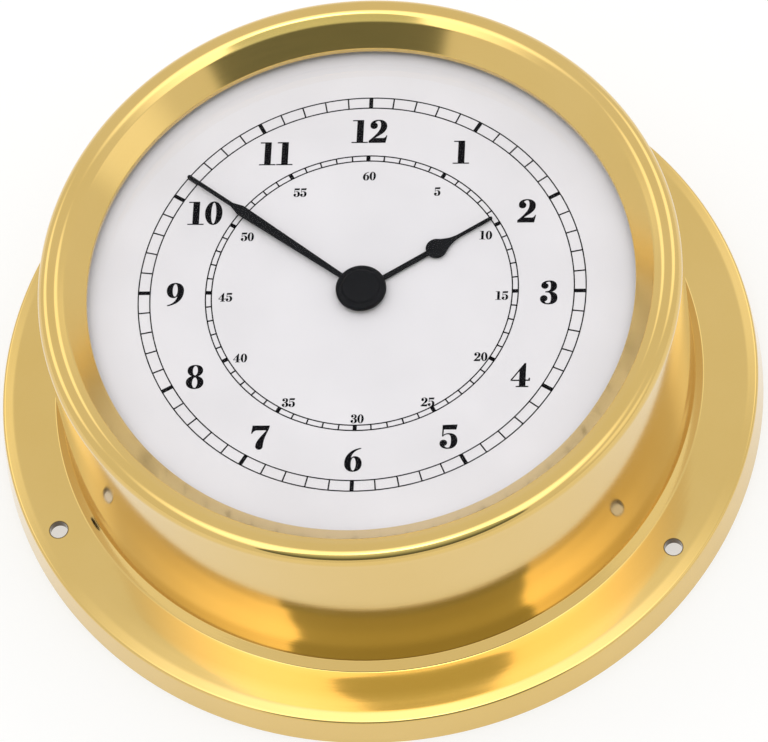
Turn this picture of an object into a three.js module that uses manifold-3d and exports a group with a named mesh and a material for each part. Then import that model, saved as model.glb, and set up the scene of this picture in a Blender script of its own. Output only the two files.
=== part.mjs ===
// Ship's clock: a spun brass bulkhead case with a quartz movement, lying on its back.
// Millimetres, +Z out of the dial, +Y to twelve o'clock, origin at the centre of the flange's back.

import * as THREE from 'three';
import { mergeVertices } from 'three/addons/utils/BufferGeometryUtils.js';
import Module from 'manifold-3d';

const wasm = await Module();
wasm.setup();

// Case, one piece of spun brass sheet
const DRUM_DIAMETER = 99;
const FLANGE_WIDTH = 10.5;
const FLANGE_HEIGHT = 5.8;
const FLANGE_EDGE_RADIUS = 1.5;
const COVE_RADIUS = 2.2;
const CASE_HEIGHT = 40.6;
const SHEET = 1;
const RIM_EDGE_RADIUS = 1.5;
const RIM_LAND = 1.3;
const RIM_SLOPE_RUN = 4.5;
const RIM_SLOPE_DROP = 3.8;
const LIP_HEIGHT = 0.8;

// Screw holes in the flange, turned a little clockwise of the dial's twelve
const FLANGE_HOLE_COUNT = 3;
const FLANGE_HOLE_DIAMETER = 2.8;
const FLANGE_HOLE_INSET = 4.6;
const FLANGE_HOLE_TURN = 2;

// What is clamped in the case, from the front backwards
const SEAT_GAP = 0.1;
const CRYSTAL_THICKNESS = 1.2;
const CRYSTAL_BELOW_RIM = 1.5;
const CRYSTAL_LIP_CLEARANCE = 0.3;
const CRYSTAL_CROWN_POWER = 4;
const DISC_CLEARANCE = 0.6;
const GASKET_INSET = 0.7;
const GASKET_WIDTH = 2.5;
const DIAL_THICKNESS = 0.8;
const CARRIER_THICKNESS = 1.2;
const SNAP_RING_WIDTH = 1.2;
const SNAP_RING_THICKNESS = 1;
const SNAP_RING_SPLIT = 24;

// Centre hole of dial and carrier, bush and hand arbors
const ARBOR_RADIUS = 1.1;
const RUNNING_GAP = 0.1;
const PIPE_WALL = 0.6;
const BUSH_WALL = 1.2;
const BUSH_STAND = 0.2;
const BUSH_COLLAR_WIDTH = 1;
const BUSH_COLLAR_HEIGHT = 0.5;

// Hands
const HAND_THICKNESS = 0.3;
const HAND_GAP = 0.2;
const HOUR_BOSS_RADIUS = 3.3;
const HUB_DIAMETER = 7.8;
const HUB_HEIGHT = 0.5;
const HUB_CROWN_DIAMETER = 5.8;
const HUB_CROWN_HEIGHT = 0.3;
const HOUR_ANGLE = 57.2;
const HOUR_LENGTH = 23.4;
const HOUR_STEM_WIDTH = 0.85;
const HOUR_TIP_WIDTH = 0.55;
const HOUR_BULB_RADIUS = 1.65;
const HOUR_BULB_CENTRE = 13.4;
const HOUR_BULB_END = 17.5;
const HOUR_BULB_FLANK = 50;
const MINUTE_ANGLE = 305.9;
const MINUTE_TIP_INSET = 7.8;
const MINUTE_ROOT_WIDTH = 0.85;
const MINUTE_WIDEST_WIDTH = 1.7;
const MINUTE_SHOULDER_LENGTH = 1.7;
const MINUTE_NEEDLE_LENGTH = 8.8;
const MINUTE_NEEDLE_WIDTH = 0.65;

// Movement housing
const MOVEMENT_CORNER = 2;
const WALL = 1.2;
const FRONT_WALL = 1.5;
const COVER_THICKNESS = 1.5;
const JOINT_GAP = 0.1;
const EAR_LENGTH = 6;
const EAR_WIDTH = 6;
const EAR_THICKNESS = 2;
const EAR_Y = 4;
const EAR_SCREW_RADIUS = 1.1;
const EAR_SCREW_HEAD_RADIUS = 2.2;
const EAR_SCREW_HEAD_HEIGHT = 1.4;
const EAR_SCREW_SLOT_WIDTH = 0.5;
const EAR_SCREW_SLOT_DEPTH = 0.7;

// Battery, a common round cell, and its contacts
const CELL_DIAMETER = 14.5;
const CELL_LENGTH = 50.5;
const CELL_NUB_DIAMETER = 5.5;
const CELL_NUB_LENGTH = 1.3;
const CELL_CAP_LENGTH = 0.8;
const CELL_FRONT_GAP = 0.55;
const CELL_SIDE_GAP = 0.15;
const CONTACT_THICKNESS = 0.4;
const CONTACT_WIDTH = 8;
const CONTACT_HEIGHT = 8;
const SPRING_DEPTH = 2.2;

// Wheel train
const MODULE = 0.4;
const ROTOR_MODULE = 0.3;
const WHEEL_THICKNESS = 1;
const WHEEL_PITCH = 2;
const WHEEL_END_GAP = 0.3;
const WHEEL_WALL_GAP = 0.9;
const TRAIN_BACK_ROOM = 0.7;
const PINION_OVERLAP = 0.25;
const WHEEL_ARBOR_RADIUS = 0.5;
const PIVOT_DEPTH = 0.8;
const PIVOT_GAP = 0.1;
const ADDENDUM = 0.75;
const DEDENDUM = 1.15;
const TIP_SHARE = 0.2;
const ROOT_SHARE = 0.58;
const CANNON_TEETH = 10;
const MINUTE_WHEEL_TEETH = 30;
const MINUTE_PINION_TEETH = 8;
const HOUR_WHEEL_TEETH = 32;
const SETTING_TEETH = 10;
const CENTRE_WHEEL_TEETH = 48;
const THIRD_WHEEL_TEETH = 45;
const SECONDS_WHEEL_TEETH = 30;
const INTERMEDIATE_TEETH = 36;
const PINION_TEETH = 6;
const THIRD_DIRECTION = 135;
const SECONDS_DIRECTION = 25;
const INTERMEDIATE_DIRECTION = 0;
const ROTOR_DIRECTION = 30;

// Hand setting and the slipping clutch
const CLUTCH_RADIUS = 2.6;
const CLUTCH_THICKNESS = 0.4;
const SHOULDER_RADIUS = 1.5;
const SHOULDER_HEIGHT = 0.3;
const MINUTE_STUD_RADIUS = 0.8;
const SETTING_ARBOR_RADIUS = 1.4;
const KNOB_RADIUS = 5;
const KNOB_HEIGHT = 3.2;
const KNOB_GAP = 0.3;
const KNOB_FLOOR = 1.1;
const KNOB_FLUTES = 18;
const KNOB_FLUTE_DEPTH = 0.4;

// Stepping motor and circuit
const MAGNET_RADIUS = 2.5;
const MAGNET_HEIGHT = 2;
const STATOR_THICKNESS = 1.2;
const STATOR_BORE_GAP = 0.6;
const STATOR_RING_WIDTH = 2.1;
const STATOR_ARM_WIDTH = 2.3;
const COIL_LENGTH = 20;
const COIL_FLANGE_RADIUS = 2.9;
const COIL_FLANGE_WIDTH = 1;
const COIL_TUBE_RADIUS = 1.6;
const COIL_WINDING_RADIUS = 2.7;
const COIL_WALL_GAP = 0.7;
const MOTOR_WHEEL_GAP = 0.7;
const CORE_WIDTH = 2;
const CORE_THICKNESS = 0.8;
const LUG_LENGTH = 4.5;
const LUG_GAP = 1.5;
const MOTOR_SCREW_RADIUS = 0.8;
const MOTOR_SCREW_HEAD_RADIUS = 1.6;
const MOTOR_SCREW_HEAD_HEIGHT = 1.2;
const MOTOR_POST_RADIUS = 1.8;
const BOARD_LENGTH = 24;
const BOARD_WIDTH = 14.5;
const BOARD_THICKNESS = 1.2;
const BOARD_INSET = 2.8;
const QUARTZ_RADIUS = 1;
const QUARTZ_LENGTH = 6;
const CHIP_RADIUS = 2.5;
const CHIP_HEIGHT = 1.2;
const CHIP_SHOULDER_INSET = 0.5;
const CHIP_SHOULDER_DROP = 0.35;
const CHIP_TOP_RADIUS = 1;

// Facets round turned pieces from the large to the small, and steps along their curves
const TURNED_FACETS = 56;
const DISC_FACETS = 40;
const ROUND_FACETS = 24;
const SMALL_FACETS = 12;
const SNAP_RING_STEPS = 39;
const ROUNDING_STEPS = 3;
const CROWN_STEPS = 6;
const BULB_STEPS = 5;

// How far a cut runs past the face that it opens, and how close two points count as one
const CUT_PAST = 1;
const SAME_POINT = 1e-4;

// Sizes that follow from the driving ones
const drumRadius = DRUM_DIAMETER / 2;
const drumInside = drumRadius - SHEET;
const flangeRadius = drumRadius + FLANGE_WIDTH;
const flangeHoleCircle = flangeRadius - FLANGE_HOLE_INSET;
const landInner = drumRadius - RIM_EDGE_RADIUS - RIM_LAND;
const openingRadius = landInner - RIM_SLOPE_RUN;
const lipTop = CASE_HEIGHT - RIM_SLOPE_DROP;
const lipBottom = lipTop - LIP_HEIGHT;
const discRadius = drumInside - DISC_CLEARANCE;
const crystalTop = lipBottom - SEAT_GAP;
const dialTop = crystalTop - CRYSTAL_THICKNESS;
const dialBack = dialTop - DIAL_THICKNESS;
const carrierBack = dialBack - CARRIER_THICKNESS;
const pipeInside = ARBOR_RADIUS + RUNNING_GAP;
const pipeOutside = pipeInside + PIPE_WALL;
const bushInside = pipeOutside + RUNNING_GAP;
const bushOutside = bushInside + BUSH_WALL;
const centreHole = bushOutside + RUNNING_GAP;
const bushTop = dialTop + BUSH_STAND;
const hourHandBack = bushTop + HAND_GAP;
const hourHandFront = hourHandBack + HAND_THICKNESS;
const minuteHandBack = hourHandFront + HAND_GAP;
const minuteHandFront = minuteHandBack + HAND_THICKNESS;
const minuteLength = openingRadius - MINUTE_TIP_INSET;
const movementFront = carrierBack;
const frontInside = movementFront - FRONT_WALL;

// Wheel levels count from the front wall backwards
const wheelTop = (level) => frontInside - WHEEL_END_GAP - level * WHEEL_PITCH;
const LEVEL = { hour: 0, minute: 1, centre: 2, third: 3, seconds: 4, intermediate: 5, behind: 6 };
const coverInside = wheelTop(LEVEL.behind) - TRAIN_BACK_ROOM;
const movementBack = coverInside - COVER_THICKNESS;

// The cell sets the movement's length, and lies below the largest wheel
const cellRadius = CELL_DIAMETER / 2;
const plusEndRoom = JOINT_GAP + CONTACT_THICKNESS + CELL_SIDE_GAP;
const minusEndRoom = JOINT_GAP + SPRING_DEPTH + CELL_SIDE_GAP;
const inside = (CELL_LENGTH + plusEndRoom + minusEndRoom) / 2;
const half = inside + WALL;
const cellTip = inside - plusEndRoom;
const wheelTip = (teeth, size) => (teeth / 2 + ADDENDUM) * size;
const trainBottomY = -wheelTip(CENTRE_WHEEL_TEETH, MODULE) - WHEEL_WALL_GAP;
const dividerY = trainBottomY - WALL;
const cellY = dividerY - CELL_SIDE_GAP - cellRadius;
const cellZ = frontInside - CELL_FRONT_GAP - cellRadius;
const bayBottomY = cellY - cellRadius - CELL_SIDE_GAP;
const movementBottomY = bayBottomY - WALL;

// Arbor places, each stepped from the last by the centre distance of its meshing pair
const degrees = Math.PI / 180;
const step = (from, direction, distance) => ({
  x: from.x + distance * Math.cos(direction * degrees),
  y: from.y + distance * Math.sin(direction * degrees),
});
const centreDistance = (teethA, teethB, size) => (teethA + teethB) * size / 2;
const CENTRE = { x: 0, y: 0 };
const minuteAt = step(CENTRE, 0, centreDistance(CANNON_TEETH, MINUTE_WHEEL_TEETH, MODULE));
const settingAt = step(minuteAt, 0, centreDistance(MINUTE_WHEEL_TEETH, SETTING_TEETH, MODULE));
const thirdAt = step(CENTRE, THIRD_DIRECTION, centreDistance(CENTRE_WHEEL_TEETH, PINION_TEETH, MODULE));
const secondsAt = step(thirdAt, SECONDS_DIRECTION, centreDistance(THIRD_WHEEL_TEETH, PINION_TEETH, MODULE));
const intermediateAt = step(
  secondsAt, INTERMEDIATE_DIRECTION, centreDistance(SECONDS_WHEEL_TEETH, PINION_TEETH, MODULE));
const rotorAt = step(
  intermediateAt, ROTOR_DIRECTION, centreDistance(INTERMEDIATE_TEETH, PINION_TEETH, ROTOR_MODULE));
const carriedArbors = [thirdAt, secondsAt, intermediateAt, rotorAt];

// The motor stands above the third wheel, and sets the movement's top
const statorArmBottom = thirdAt.y + wheelTip(THIRD_WHEEL_TEETH, MODULE) + MOTOR_WHEEL_GAP;
const statorArmTop = statorArmBottom + STATOR_ARM_WIDTH;
const coilY = statorArmTop + COIL_WALL_GAP / 2 + COIL_FLANGE_RADIUS;
const insideTop = coilY + COIL_FLANGE_RADIUS + COIL_WALL_GAP;
const movementTop = insideTop + WALL;
const statorBack = wheelTop(LEVEL.third) - WHEEL_THICKNESS + PINION_OVERLAP;
const statorFront = statorBack + STATOR_THICKNESS;
const coreBack = statorFront + JOINT_GAP;
const coreFront = coreBack + CORE_THICKNESS;
const lugInner = COIL_LENGTH / 2 + LUG_GAP;
const lugOuter = lugInner + LUG_LENGTH;
const motorScrewX = (lugInner + lugOuter) / 2;

// Finishes
const brass = new THREE.MeshStandardMaterial({ color: 0xd4b062, metalness: 1, roughness: 0.18 });
const machinedBrass = new THREE.MeshStandardMaterial({ color: 0xc9a75a, metalness: 1, roughness: 0.35 });
const steel = new THREE.MeshStandardMaterial({ color: 0xb4b6b8, metalness: 1, roughness: 0.3 });
const acrylic = new THREE.MeshStandardMaterial({
  color: 0xf4f6f8, roughness: 0.05, transparent: true, opacity: 0.3,
});
const rubber = new THREE.MeshStandardMaterial({ color: 0x1a1a1a, roughness: 0.9 });
const dialWhite = new THREE.MeshStandardMaterial({ color: 0xe4e2e7, roughness: 0.55 });
const handBlack = new THREE.MeshStandardMaterial({ color: 0x121317, roughness: 0.35 });
const blackPlastic = new THREE.MeshStandardMaterial({ color: 0x1b1b1d, roughness: 0.6 });
const wheelPlastic = new THREE.MeshStandardMaterial({ color: 0xe9e4d4, roughness: 0.5 });
const knobRed = new THREE.MeshStandardMaterial({ color: 0x9c1f1b, roughness: 0.5 });
const boardGreen = new THREE.MeshStandardMaterial({ color: 0x2f6a3a, roughness: 0.6 });
const copper = new THREE.MeshStandardMaterial({ color: 0xb5652d, metalness: 1, roughness: 0.35 });
const magnetGrey = new THREE.MeshStandardMaterial({ color: 0x4a4a4c, roughness: 0.7 });
const cellLabel = new THREE.MeshStandardMaterial({ color: 0x2b4f8f, roughness: 0.4 });

const clock = new THREE.Group();

// A closed three.js geometry as a solid that can be joined and cut
function solid(geometry) {
  const bare = geometry.clone();
  bare.deleteAttribute('normal');
  bare.deleteAttribute('uv');
  const merged = mergeVertices(bare, SAME_POINT);
  const index = merged.index.array;
  const triangles = [];
  for (let i = 0; i < index.length; i += 3) {
    const [a, b, c] = [index[i], index[i + 1], index[i + 2]];
    if (a !== b && b !== c && c !== a) triangles.push(a, b, c);
  }
  const vertProperties = new Float32Array(merged.attributes.position.array);
  const build = (triVerts) => new wasm.Manifold(new wasm.Mesh({ numProp: 3, vertProperties, triVerts }));
  const made = build(new Uint32Array(triangles));
  return made.volume() > 0 ? made : build(new Uint32Array(triangles.reverse()));
}

// A finished solid as a named mesh of the clock
function piece(name, body, material) {
  const { vertProperties, triVerts } = body.getMesh();
  const geometry = new THREE.BufferGeometry();
  geometry.setAttribute('position', new THREE.BufferAttribute(vertProperties, 3));
  geometry.setIndex(new THREE.BufferAttribute(triVerts, 1));
  geometry.computeVertexNormals();
  const mesh = new THREE.Mesh(geometry, material);
  mesh.name = name;
  clock.add(mesh);
}

// Turned round Z from [radius, height] points
function turned(points, facets) {
  const profile = points.map(([radius, height]) => new THREE.Vector2(radius, height));
  return solid(new THREE.LatheGeometry(profile, facets).rotateX(Math.PI / 2));
}

// Turned ring: its profile closes on itself
const turnedRing = (points, facets) => turned([...points, points[0]], facets);

// Flat outline from one height to another
function plate(shape, from, to, curveSegments = SMALL_FACETS) {
  const settings = { depth: to - from, bevelEnabled: false, curveSegments };
  return solid(new THREE.ExtrudeGeometry(shape, settings).translate(0, 0, from));
}

const outline = (points) => new THREE.Shape(points.map(([x, y]) => new THREE.Vector2(x, y)));

const block = (x0, x1, y0, y1, z0, z1) => plate(outline([[x0, y0], [x1, y0], [x1, y1], [x0, y1]]), z0, z1);

// Round bar along Z at a place
function bar(radius, from, to, at = CENTRE, facets = SMALL_FACETS) {
  const points = [[0, from], [radius, from], [radius, to], [0, to]];
  return turned(points, facets).translate(at.x, at.y, 0);
}

// Ring along Z at a place
function ring(inner, outer, from, to, at = CENTRE, facets = SMALL_FACETS) {
  const points = [[inner, from], [outer, from], [outer, to], [inner, to]];
  return turnedRing(points, facets).translate(at.x, at.y, 0);
}

// Points of a circular arc in a profile
function arc(radius, height, size, from, to, steps = ROUNDING_STEPS) {
  return Array.from({ length: steps + 1 }, (_, i) => {
    const angle = (from + (to - from) * i / steps) * degrees;
    return [radius + size * Math.cos(angle), height + size * Math.sin(angle)];
  });
}

// Toothed wheel whose first tooth points along a direction in degrees
function gear(teeth, size, from, to, at, direction) {
  const pitchRadius = teeth * size / 2;
  const tip = pitchRadius + ADDENDUM * size;
  const root = pitchRadius - DEDENDUM * size;
  const pitchAngle = 2 * Math.PI / teeth;
  const point = (radius, angle) => [radius * Math.cos(angle), radius * Math.sin(angle)];
  const points = [];
  for (let i = 0; i < teeth; i += 1) {
    const middle = direction * degrees + i * pitchAngle;
    points.push(point(root, middle - ROOT_SHARE * pitchAngle / 2));
    points.push(point(tip, middle - TIP_SHARE * pitchAngle / 2));
    points.push(point(tip, middle + TIP_SHARE * pitchAngle / 2));
    points.push(point(root, middle + ROOT_SHARE * pitchAngle / 2));
  }
  return plate(outline(points), from, to).translate(at.x, at.y, 0);
}

// A gear with a gap, not a tooth, along the direction
const gappedGear = (teeth, size, from, to, at, direction) =>
  gear(teeth, size, from, to, at, direction + 180 / teeth);

// Height of the rim's sloped sheet on its hidden side
const slopeTilt = RIM_SLOPE_DROP / RIM_SLOPE_RUN;
const slopeBehind = (radius) =>
  lipTop + (radius - openingRadius) * slopeTilt - SHEET * Math.hypot(1, slopeTilt);

function makeCaseShell() {
  const landBack = CASE_HEIGHT - SHEET;
  const landBackRadius = openingRadius + (landBack - slopeBehind(openingRadius)) / slopeTilt;
  const innerEdge = FLANGE_EDGE_RADIUS - SHEET;
  const innerRim = RIM_EDGE_RADIUS - SHEET;
  const coveRadius = drumRadius + COVE_RADIUS;
  const coveHeight = FLANGE_HEIGHT + COVE_RADIUS;
  const flangeEdge = [flangeRadius - FLANGE_EDGE_RADIUS, FLANGE_HEIGHT - FLANGE_EDGE_RADIUS];
  const rimEdge = [drumRadius - RIM_EDGE_RADIUS, CASE_HEIGHT - RIM_EDGE_RADIUS];
  const shell = turnedRing([
    [flangeRadius, 0],
    ...arc(...flangeEdge, FLANGE_EDGE_RADIUS, 0, 90),
    ...arc(coveRadius, coveHeight, COVE_RADIUS, 270, 180),
    ...arc(...rimEdge, RIM_EDGE_RADIUS, 0, 90),
    [landInner, CASE_HEIGHT],
    [openingRadius, lipTop],
    [openingRadius, lipBottom],
    [openingRadius + SHEET, lipBottom],
    [openingRadius + SHEET, slopeBehind(openingRadius + SHEET)],
    [landBackRadius, landBack],
    ...arc(...rimEdge, innerRim, 90, 0, 1),
    ...arc(coveRadius, coveHeight, COVE_RADIUS + SHEET, 180, 270),
    ...arc(...flangeEdge, innerEdge, 90, 0, 1),
    [flangeRadius - SHEET, 0],
  ], TURNED_FACETS);
  let drilled = shell;
  for (let i = 0; i < FLANGE_HOLE_COUNT; i += 1) {
    const at = step(CENTRE, 90 - FLANGE_HOLE_TURN + i * 360 / FLANGE_HOLE_COUNT, flangeHoleCircle);
    drilled = drilled.subtract(bar(FLANGE_HOLE_DIAMETER / 2, 0, FLANGE_HEIGHT + CUT_PAST, at));
  }
  piece('case_shell', drilled, brass);
}

// Dome line: nearly flat across the dial, turning down towards its edge
function crown(radius, base, rise) {
  return Array.from({ length: CROWN_STEPS + 1 }, (_, i) => {
    const share = Math.sqrt(i / CROWN_STEPS);
    return [radius * share, base + rise * (1 - share ** CRYSTAL_CROWN_POWER)];
  });
}

function makeCrystal() {
  const domeRadius = openingRadius - CRYSTAL_LIP_CLEARANCE;
  const rise = CASE_HEIGHT - CRYSTAL_BELOW_RIM - crystalTop;
  const under = crown(domeRadius - CRYSTAL_THICKNESS, dialTop, rise);
  piece('crystal', turned([
    ...crown(domeRadius, crystalTop, rise),
    [discRadius, crystalTop],
    [discRadius, dialTop],
    ...under.reverse(),
  ], DISC_FACETS), acrylic);
}

function makeCrystalGasket() {
  const inner = openingRadius + SHEET + GASKET_INSET;
  const outer = inner + GASKET_WIDTH;
  piece('crystal_gasket', turnedRing([
    [inner, crystalTop],
    [outer, crystalTop],
    [outer, slopeBehind(outer) - SEAT_GAP],
    [inner, slopeBehind(inner) - SEAT_GAP],
  ], TURNED_FACETS), rubber);
}

const earX = half + EAR_LENGTH / 2;
const earSides = [['left', -1], ['right', 1]];

function makeDialAndCarrier() {
  piece('dial_plate', ring(centreHole, discRadius, dialBack, dialTop, CENTRE, DISC_FACETS), dialWhite);
  let carrier = ring(centreHole, discRadius, carrierBack, dialBack, CENTRE, DISC_FACETS);
  for (const [, side] of earSides) {
    const at = { x: side * earX, y: EAR_Y };
    carrier = carrier.subtract(
      bar(EAR_SCREW_RADIUS + PIVOT_GAP, carrierBack - CUT_PAST, dialBack + CUT_PAST, at));
  }
  piece('movement_carrier', carrier, blackPlastic);
}

// Spring wire that holds the stack against the lip, split at six o'clock
function makeSnapRing() {
  const outer = drumInside - SEAT_GAP;
  const from = (270 + SNAP_RING_SPLIT / 2) * degrees;
  const to = (270 - SNAP_RING_SPLIT / 2 + 360) * degrees;
  const shape = new THREE.Shape();
  shape.absarc(0, 0, outer, from, to, false);
  shape.absarc(0, 0, outer - SNAP_RING_WIDTH, to, from, true);
  piece('snap_ring', plate(shape, carrierBack - SNAP_RING_THICKNESS, carrierBack, SNAP_RING_STEPS), steel);
}

function makeCarrierScrews() {
  const headTop = movementFront - EAR_THICKNESS;
  const headBack = headTop - EAR_SCREW_HEAD_HEIGHT;
  const slotHalf = EAR_SCREW_SLOT_WIDTH / 2;
  for (const [name, side] of earSides) {
    const at = { x: side * earX, y: EAR_Y };
    const head = bar(EAR_SCREW_HEAD_RADIUS, headBack, headTop, at);
    const shank = bar(EAR_SCREW_RADIUS, headBack, dialBack - SEAT_GAP, at);
    const slotReach = EAR_SCREW_HEAD_RADIUS + CUT_PAST;
    const slot = block(at.x - slotReach, at.x + slotReach, at.y - slotHalf, at.y + slotHalf,
      headBack - CUT_PAST, headBack + EAR_SCREW_SLOT_DEPTH);
    piece(`carrier_screw_${name}`, head.add(shank).subtract(slot), steel);
  }
}

// Oblong with cut corners at the top, and at the bottom where it is the moulding's own edge
function movementOutline(bottom, lowCorner) {
  const right = [
    [half, bottom + lowCorner],
    [half, movementTop - MOVEMENT_CORNER],
    [half - MOVEMENT_CORNER, movementTop],
  ];
  const foot = lowCorner > 0 ? [[-half + lowCorner, bottom], [half - lowCorner, bottom]] : [];
  return outline([...foot, ...right, ...right.map(([x, y]) => [-x, y]).reverse()]);
}

function makeMovementHousing() {
  let housing = plate(movementOutline(movementBottomY, MOVEMENT_CORNER), movementBack, movementFront);
  for (const [, side] of earSides) {
    const [x0, x1] = [side * (half - WALL / 2), side * (half + EAR_LENGTH)].sort((a, b) => a - b);
    const [y0, y1] = [EAR_Y - EAR_WIDTH / 2, EAR_Y + EAR_WIDTH / 2];
    housing = housing.add(block(x0, x1, y0, y1, movementFront - EAR_THICKNESS, movementFront));
    const at = { x: side * earX, y: EAR_Y };
    housing = housing.subtract(
      bar(EAR_SCREW_RADIUS + PIVOT_GAP, movementBack, movementFront + CUT_PAST, at));
  }
  const open = movementBack - CUT_PAST;
  const cellBay = block(-inside, inside, bayBottomY, dividerY, open, frontInside);
  const trainBay = block(-inside, inside, trainBottomY, insideTop, open, frontInside);
  const past = half + CUT_PAST;
  const coverSeat = block(-past, past, trainBottomY, movementTop + CUT_PAST, open, coverInside);
  housing = housing.subtract(cellBay).subtract(trainBay).subtract(coverSeat);
  housing = housing.add(bar(MINUTE_STUD_RADIUS, wheelTop(LEVEL.minute) - WHEEL_THICKNESS - WHEEL_END_GAP,
    frontInside + FRONT_WALL / 2, minuteAt));
  for (const side of [-1, 1]) {
    const at = { x: side * motorScrewX, y: coilY };
    const post = bar(MOTOR_POST_RADIUS, coreFront + JOINT_GAP, frontInside + FRONT_WALL / 2, at);
    housing = housing.add(post).subtract(bar(MOTOR_SCREW_RADIUS + PIVOT_GAP, coreBack, frontInside, at));
  }
  for (const at of [...carriedArbors, settingAt]) {
    housing = housing.subtract(
      bar(WHEEL_ARBOR_RADIUS + PIVOT_GAP, frontInside - CUT_PAST, frontInside + PIVOT_DEPTH, at));
  }
  const collarSeat = bushOutside + BUSH_COLLAR_WIDTH + RUNNING_GAP;
  housing = housing.subtract(bar(centreHole, frontInside - CUT_PAST, movementFront + CUT_PAST));
  housing = housing.subtract(
    bar(collarSeat, movementFront - BUSH_COLLAR_HEIGHT, movementFront + CUT_PAST));
  piece('movement_housing', housing, blackPlastic);
}

function makeMovementCover() {
  let cover = plate(movementOutline(trainBottomY + JOINT_GAP, 0), movementBack, coverInside - JOINT_GAP);
  const pivotFloor = coverInside - JOINT_GAP - PIVOT_DEPTH;
  for (const at of carriedArbors) {
    cover = cover.subtract(bar(WHEEL_ARBOR_RADIUS + PIVOT_GAP, pivotFloor, coverInside + CUT_PAST, at));
  }
  cover = cover.subtract(bar(ARBOR_RADIUS + PIVOT_GAP, pivotFloor, coverInside + CUT_PAST));
  cover = cover.subtract(
    bar(SETTING_ARBOR_RADIUS + PIVOT_GAP, movementBack - CUT_PAST, coverInside + CUT_PAST, settingAt));
  piece('movement_cover', cover, blackPlastic);
}

function makeCentreBush() {
  const collarBack = movementFront - BUSH_COLLAR_HEIGHT + JOINT_GAP / 2;
  const collarFront = movementFront - JOINT_GAP / 2;
  const collar = bushOutside + BUSH_COLLAR_WIDTH;
  piece('centre_bush', turnedRing([
    [bushInside, frontInside],
    [bushOutside, frontInside],
    [bushOutside, collarBack],
    [collar, collarBack],
    [collar, collarFront],
    [bushOutside, collarFront],
    [bushOutside, bushTop],
    [bushInside, bushTop],
  ], SMALL_FACETS), machinedBrass);
}

// Battery: labelled can with its bottom, and the bare cap with its nub
function makeBattery() {
  const canEnd = cellTip - CELL_NUB_LENGTH;
  const start = cellTip - CELL_LENGTH;
  const along = (body) => body.rotate([0, 90, 0]).translate(0, cellY, cellZ);
  const capStart = canEnd - CELL_CAP_LENGTH;
  const can = along(bar(cellRadius, start, capStart - JOINT_GAP, CENTRE, ROUND_FACETS));
  const edge = CELL_CAP_LENGTH / 2;
  const cap = along(turned([
    [0, capStart],
    [cellRadius, capStart],
    [cellRadius, capStart + edge],
    [cellRadius - edge, canEnd],
    [CELL_NUB_DIAMETER / 2, canEnd],
    [CELL_NUB_DIAMETER / 2, cellTip],
    [0, cellTip],
  ], ROUND_FACETS));
  piece('battery_can', can, cellLabel);
  piece('battery_cap', cap, steel);
  return start;
}

// Flat positive contact and sprung negative contact in the cell bay
function makeContacts(cellStart) {
  const [z0, z1] = [cellZ - CONTACT_HEIGHT / 2, cellZ + CONTACT_HEIGHT / 2];
  const [y0, y1] = [cellY - CONTACT_WIDTH / 2, cellY + CONTACT_WIDTH / 2];
  const plus = inside - JOINT_GAP;
  piece('positive_contact', block(plus - CONTACT_THICKNESS, plus, y0, y1, z0, z1), steel);
  const minus = -inside + JOINT_GAP;
  const touch = cellStart - CELL_SIDE_GAP;
  const leaf = outline([
    [minus, y0],
    [minus + CONTACT_THICKNESS, y0],
    [touch, cellY],
    [minus + CONTACT_THICKNESS, y1],
    [minus, y1],
    [minus, y1 - CONTACT_THICKNESS],
    [touch - 2 * CONTACT_THICKNESS, cellY],
    [minus, y0 + CONTACT_THICKNESS],
  ]);
  piece('negative_contact', plate(leaf, z0, z1), steel);
}

// Minute arbor with its cannon pinion, and the friction clutch under it
function makeMinuteArbor() {
  const wheelBack = wheelTop(LEVEL.centre) - WHEEL_THICKNESS;
  const clutchTop = wheelBack - JOINT_GAP;
  const shoulderTop = clutchTop - CLUTCH_THICKNESS - JOINT_GAP;
  const foot = coverInside - PIVOT_DEPTH;
  const cannonTop = wheelTop(LEVEL.minute) + PINION_OVERLAP;
  const cannonBack = wheelTop(LEVEL.minute) - WHEEL_THICKNESS - PINION_OVERLAP;
  const arbor = bar(ARBOR_RADIUS, foot, minuteHandFront);
  const shoulder = bar(SHOULDER_RADIUS, shoulderTop - SHOULDER_HEIGHT, shoulderTop);
  const cannon = gear(CANNON_TEETH, MODULE, cannonBack, cannonTop, CENTRE, 0);
  piece('minute_arbor', arbor.add(shoulder).add(cannon), machinedBrass);
  const clutchHole = ARBOR_RADIUS + RUNNING_GAP;
  piece('clutch_washer', ring(clutchHole, CLUTCH_RADIUS, clutchTop - CLUTCH_THICKNESS, clutchTop), steel);
  const wheel = gappedGear(
    CENTRE_WHEEL_TEETH, MODULE, wheelBack, wheelTop(LEVEL.centre), CENTRE, THIRD_DIRECTION);
  const wheelHole = bar(clutchHole, wheelBack - CUT_PAST, wheelTop(LEVEL.centre) + CUT_PAST);
  piece('centre_wheel', wheel.subtract(wheelHole), wheelPlastic);
}

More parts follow.
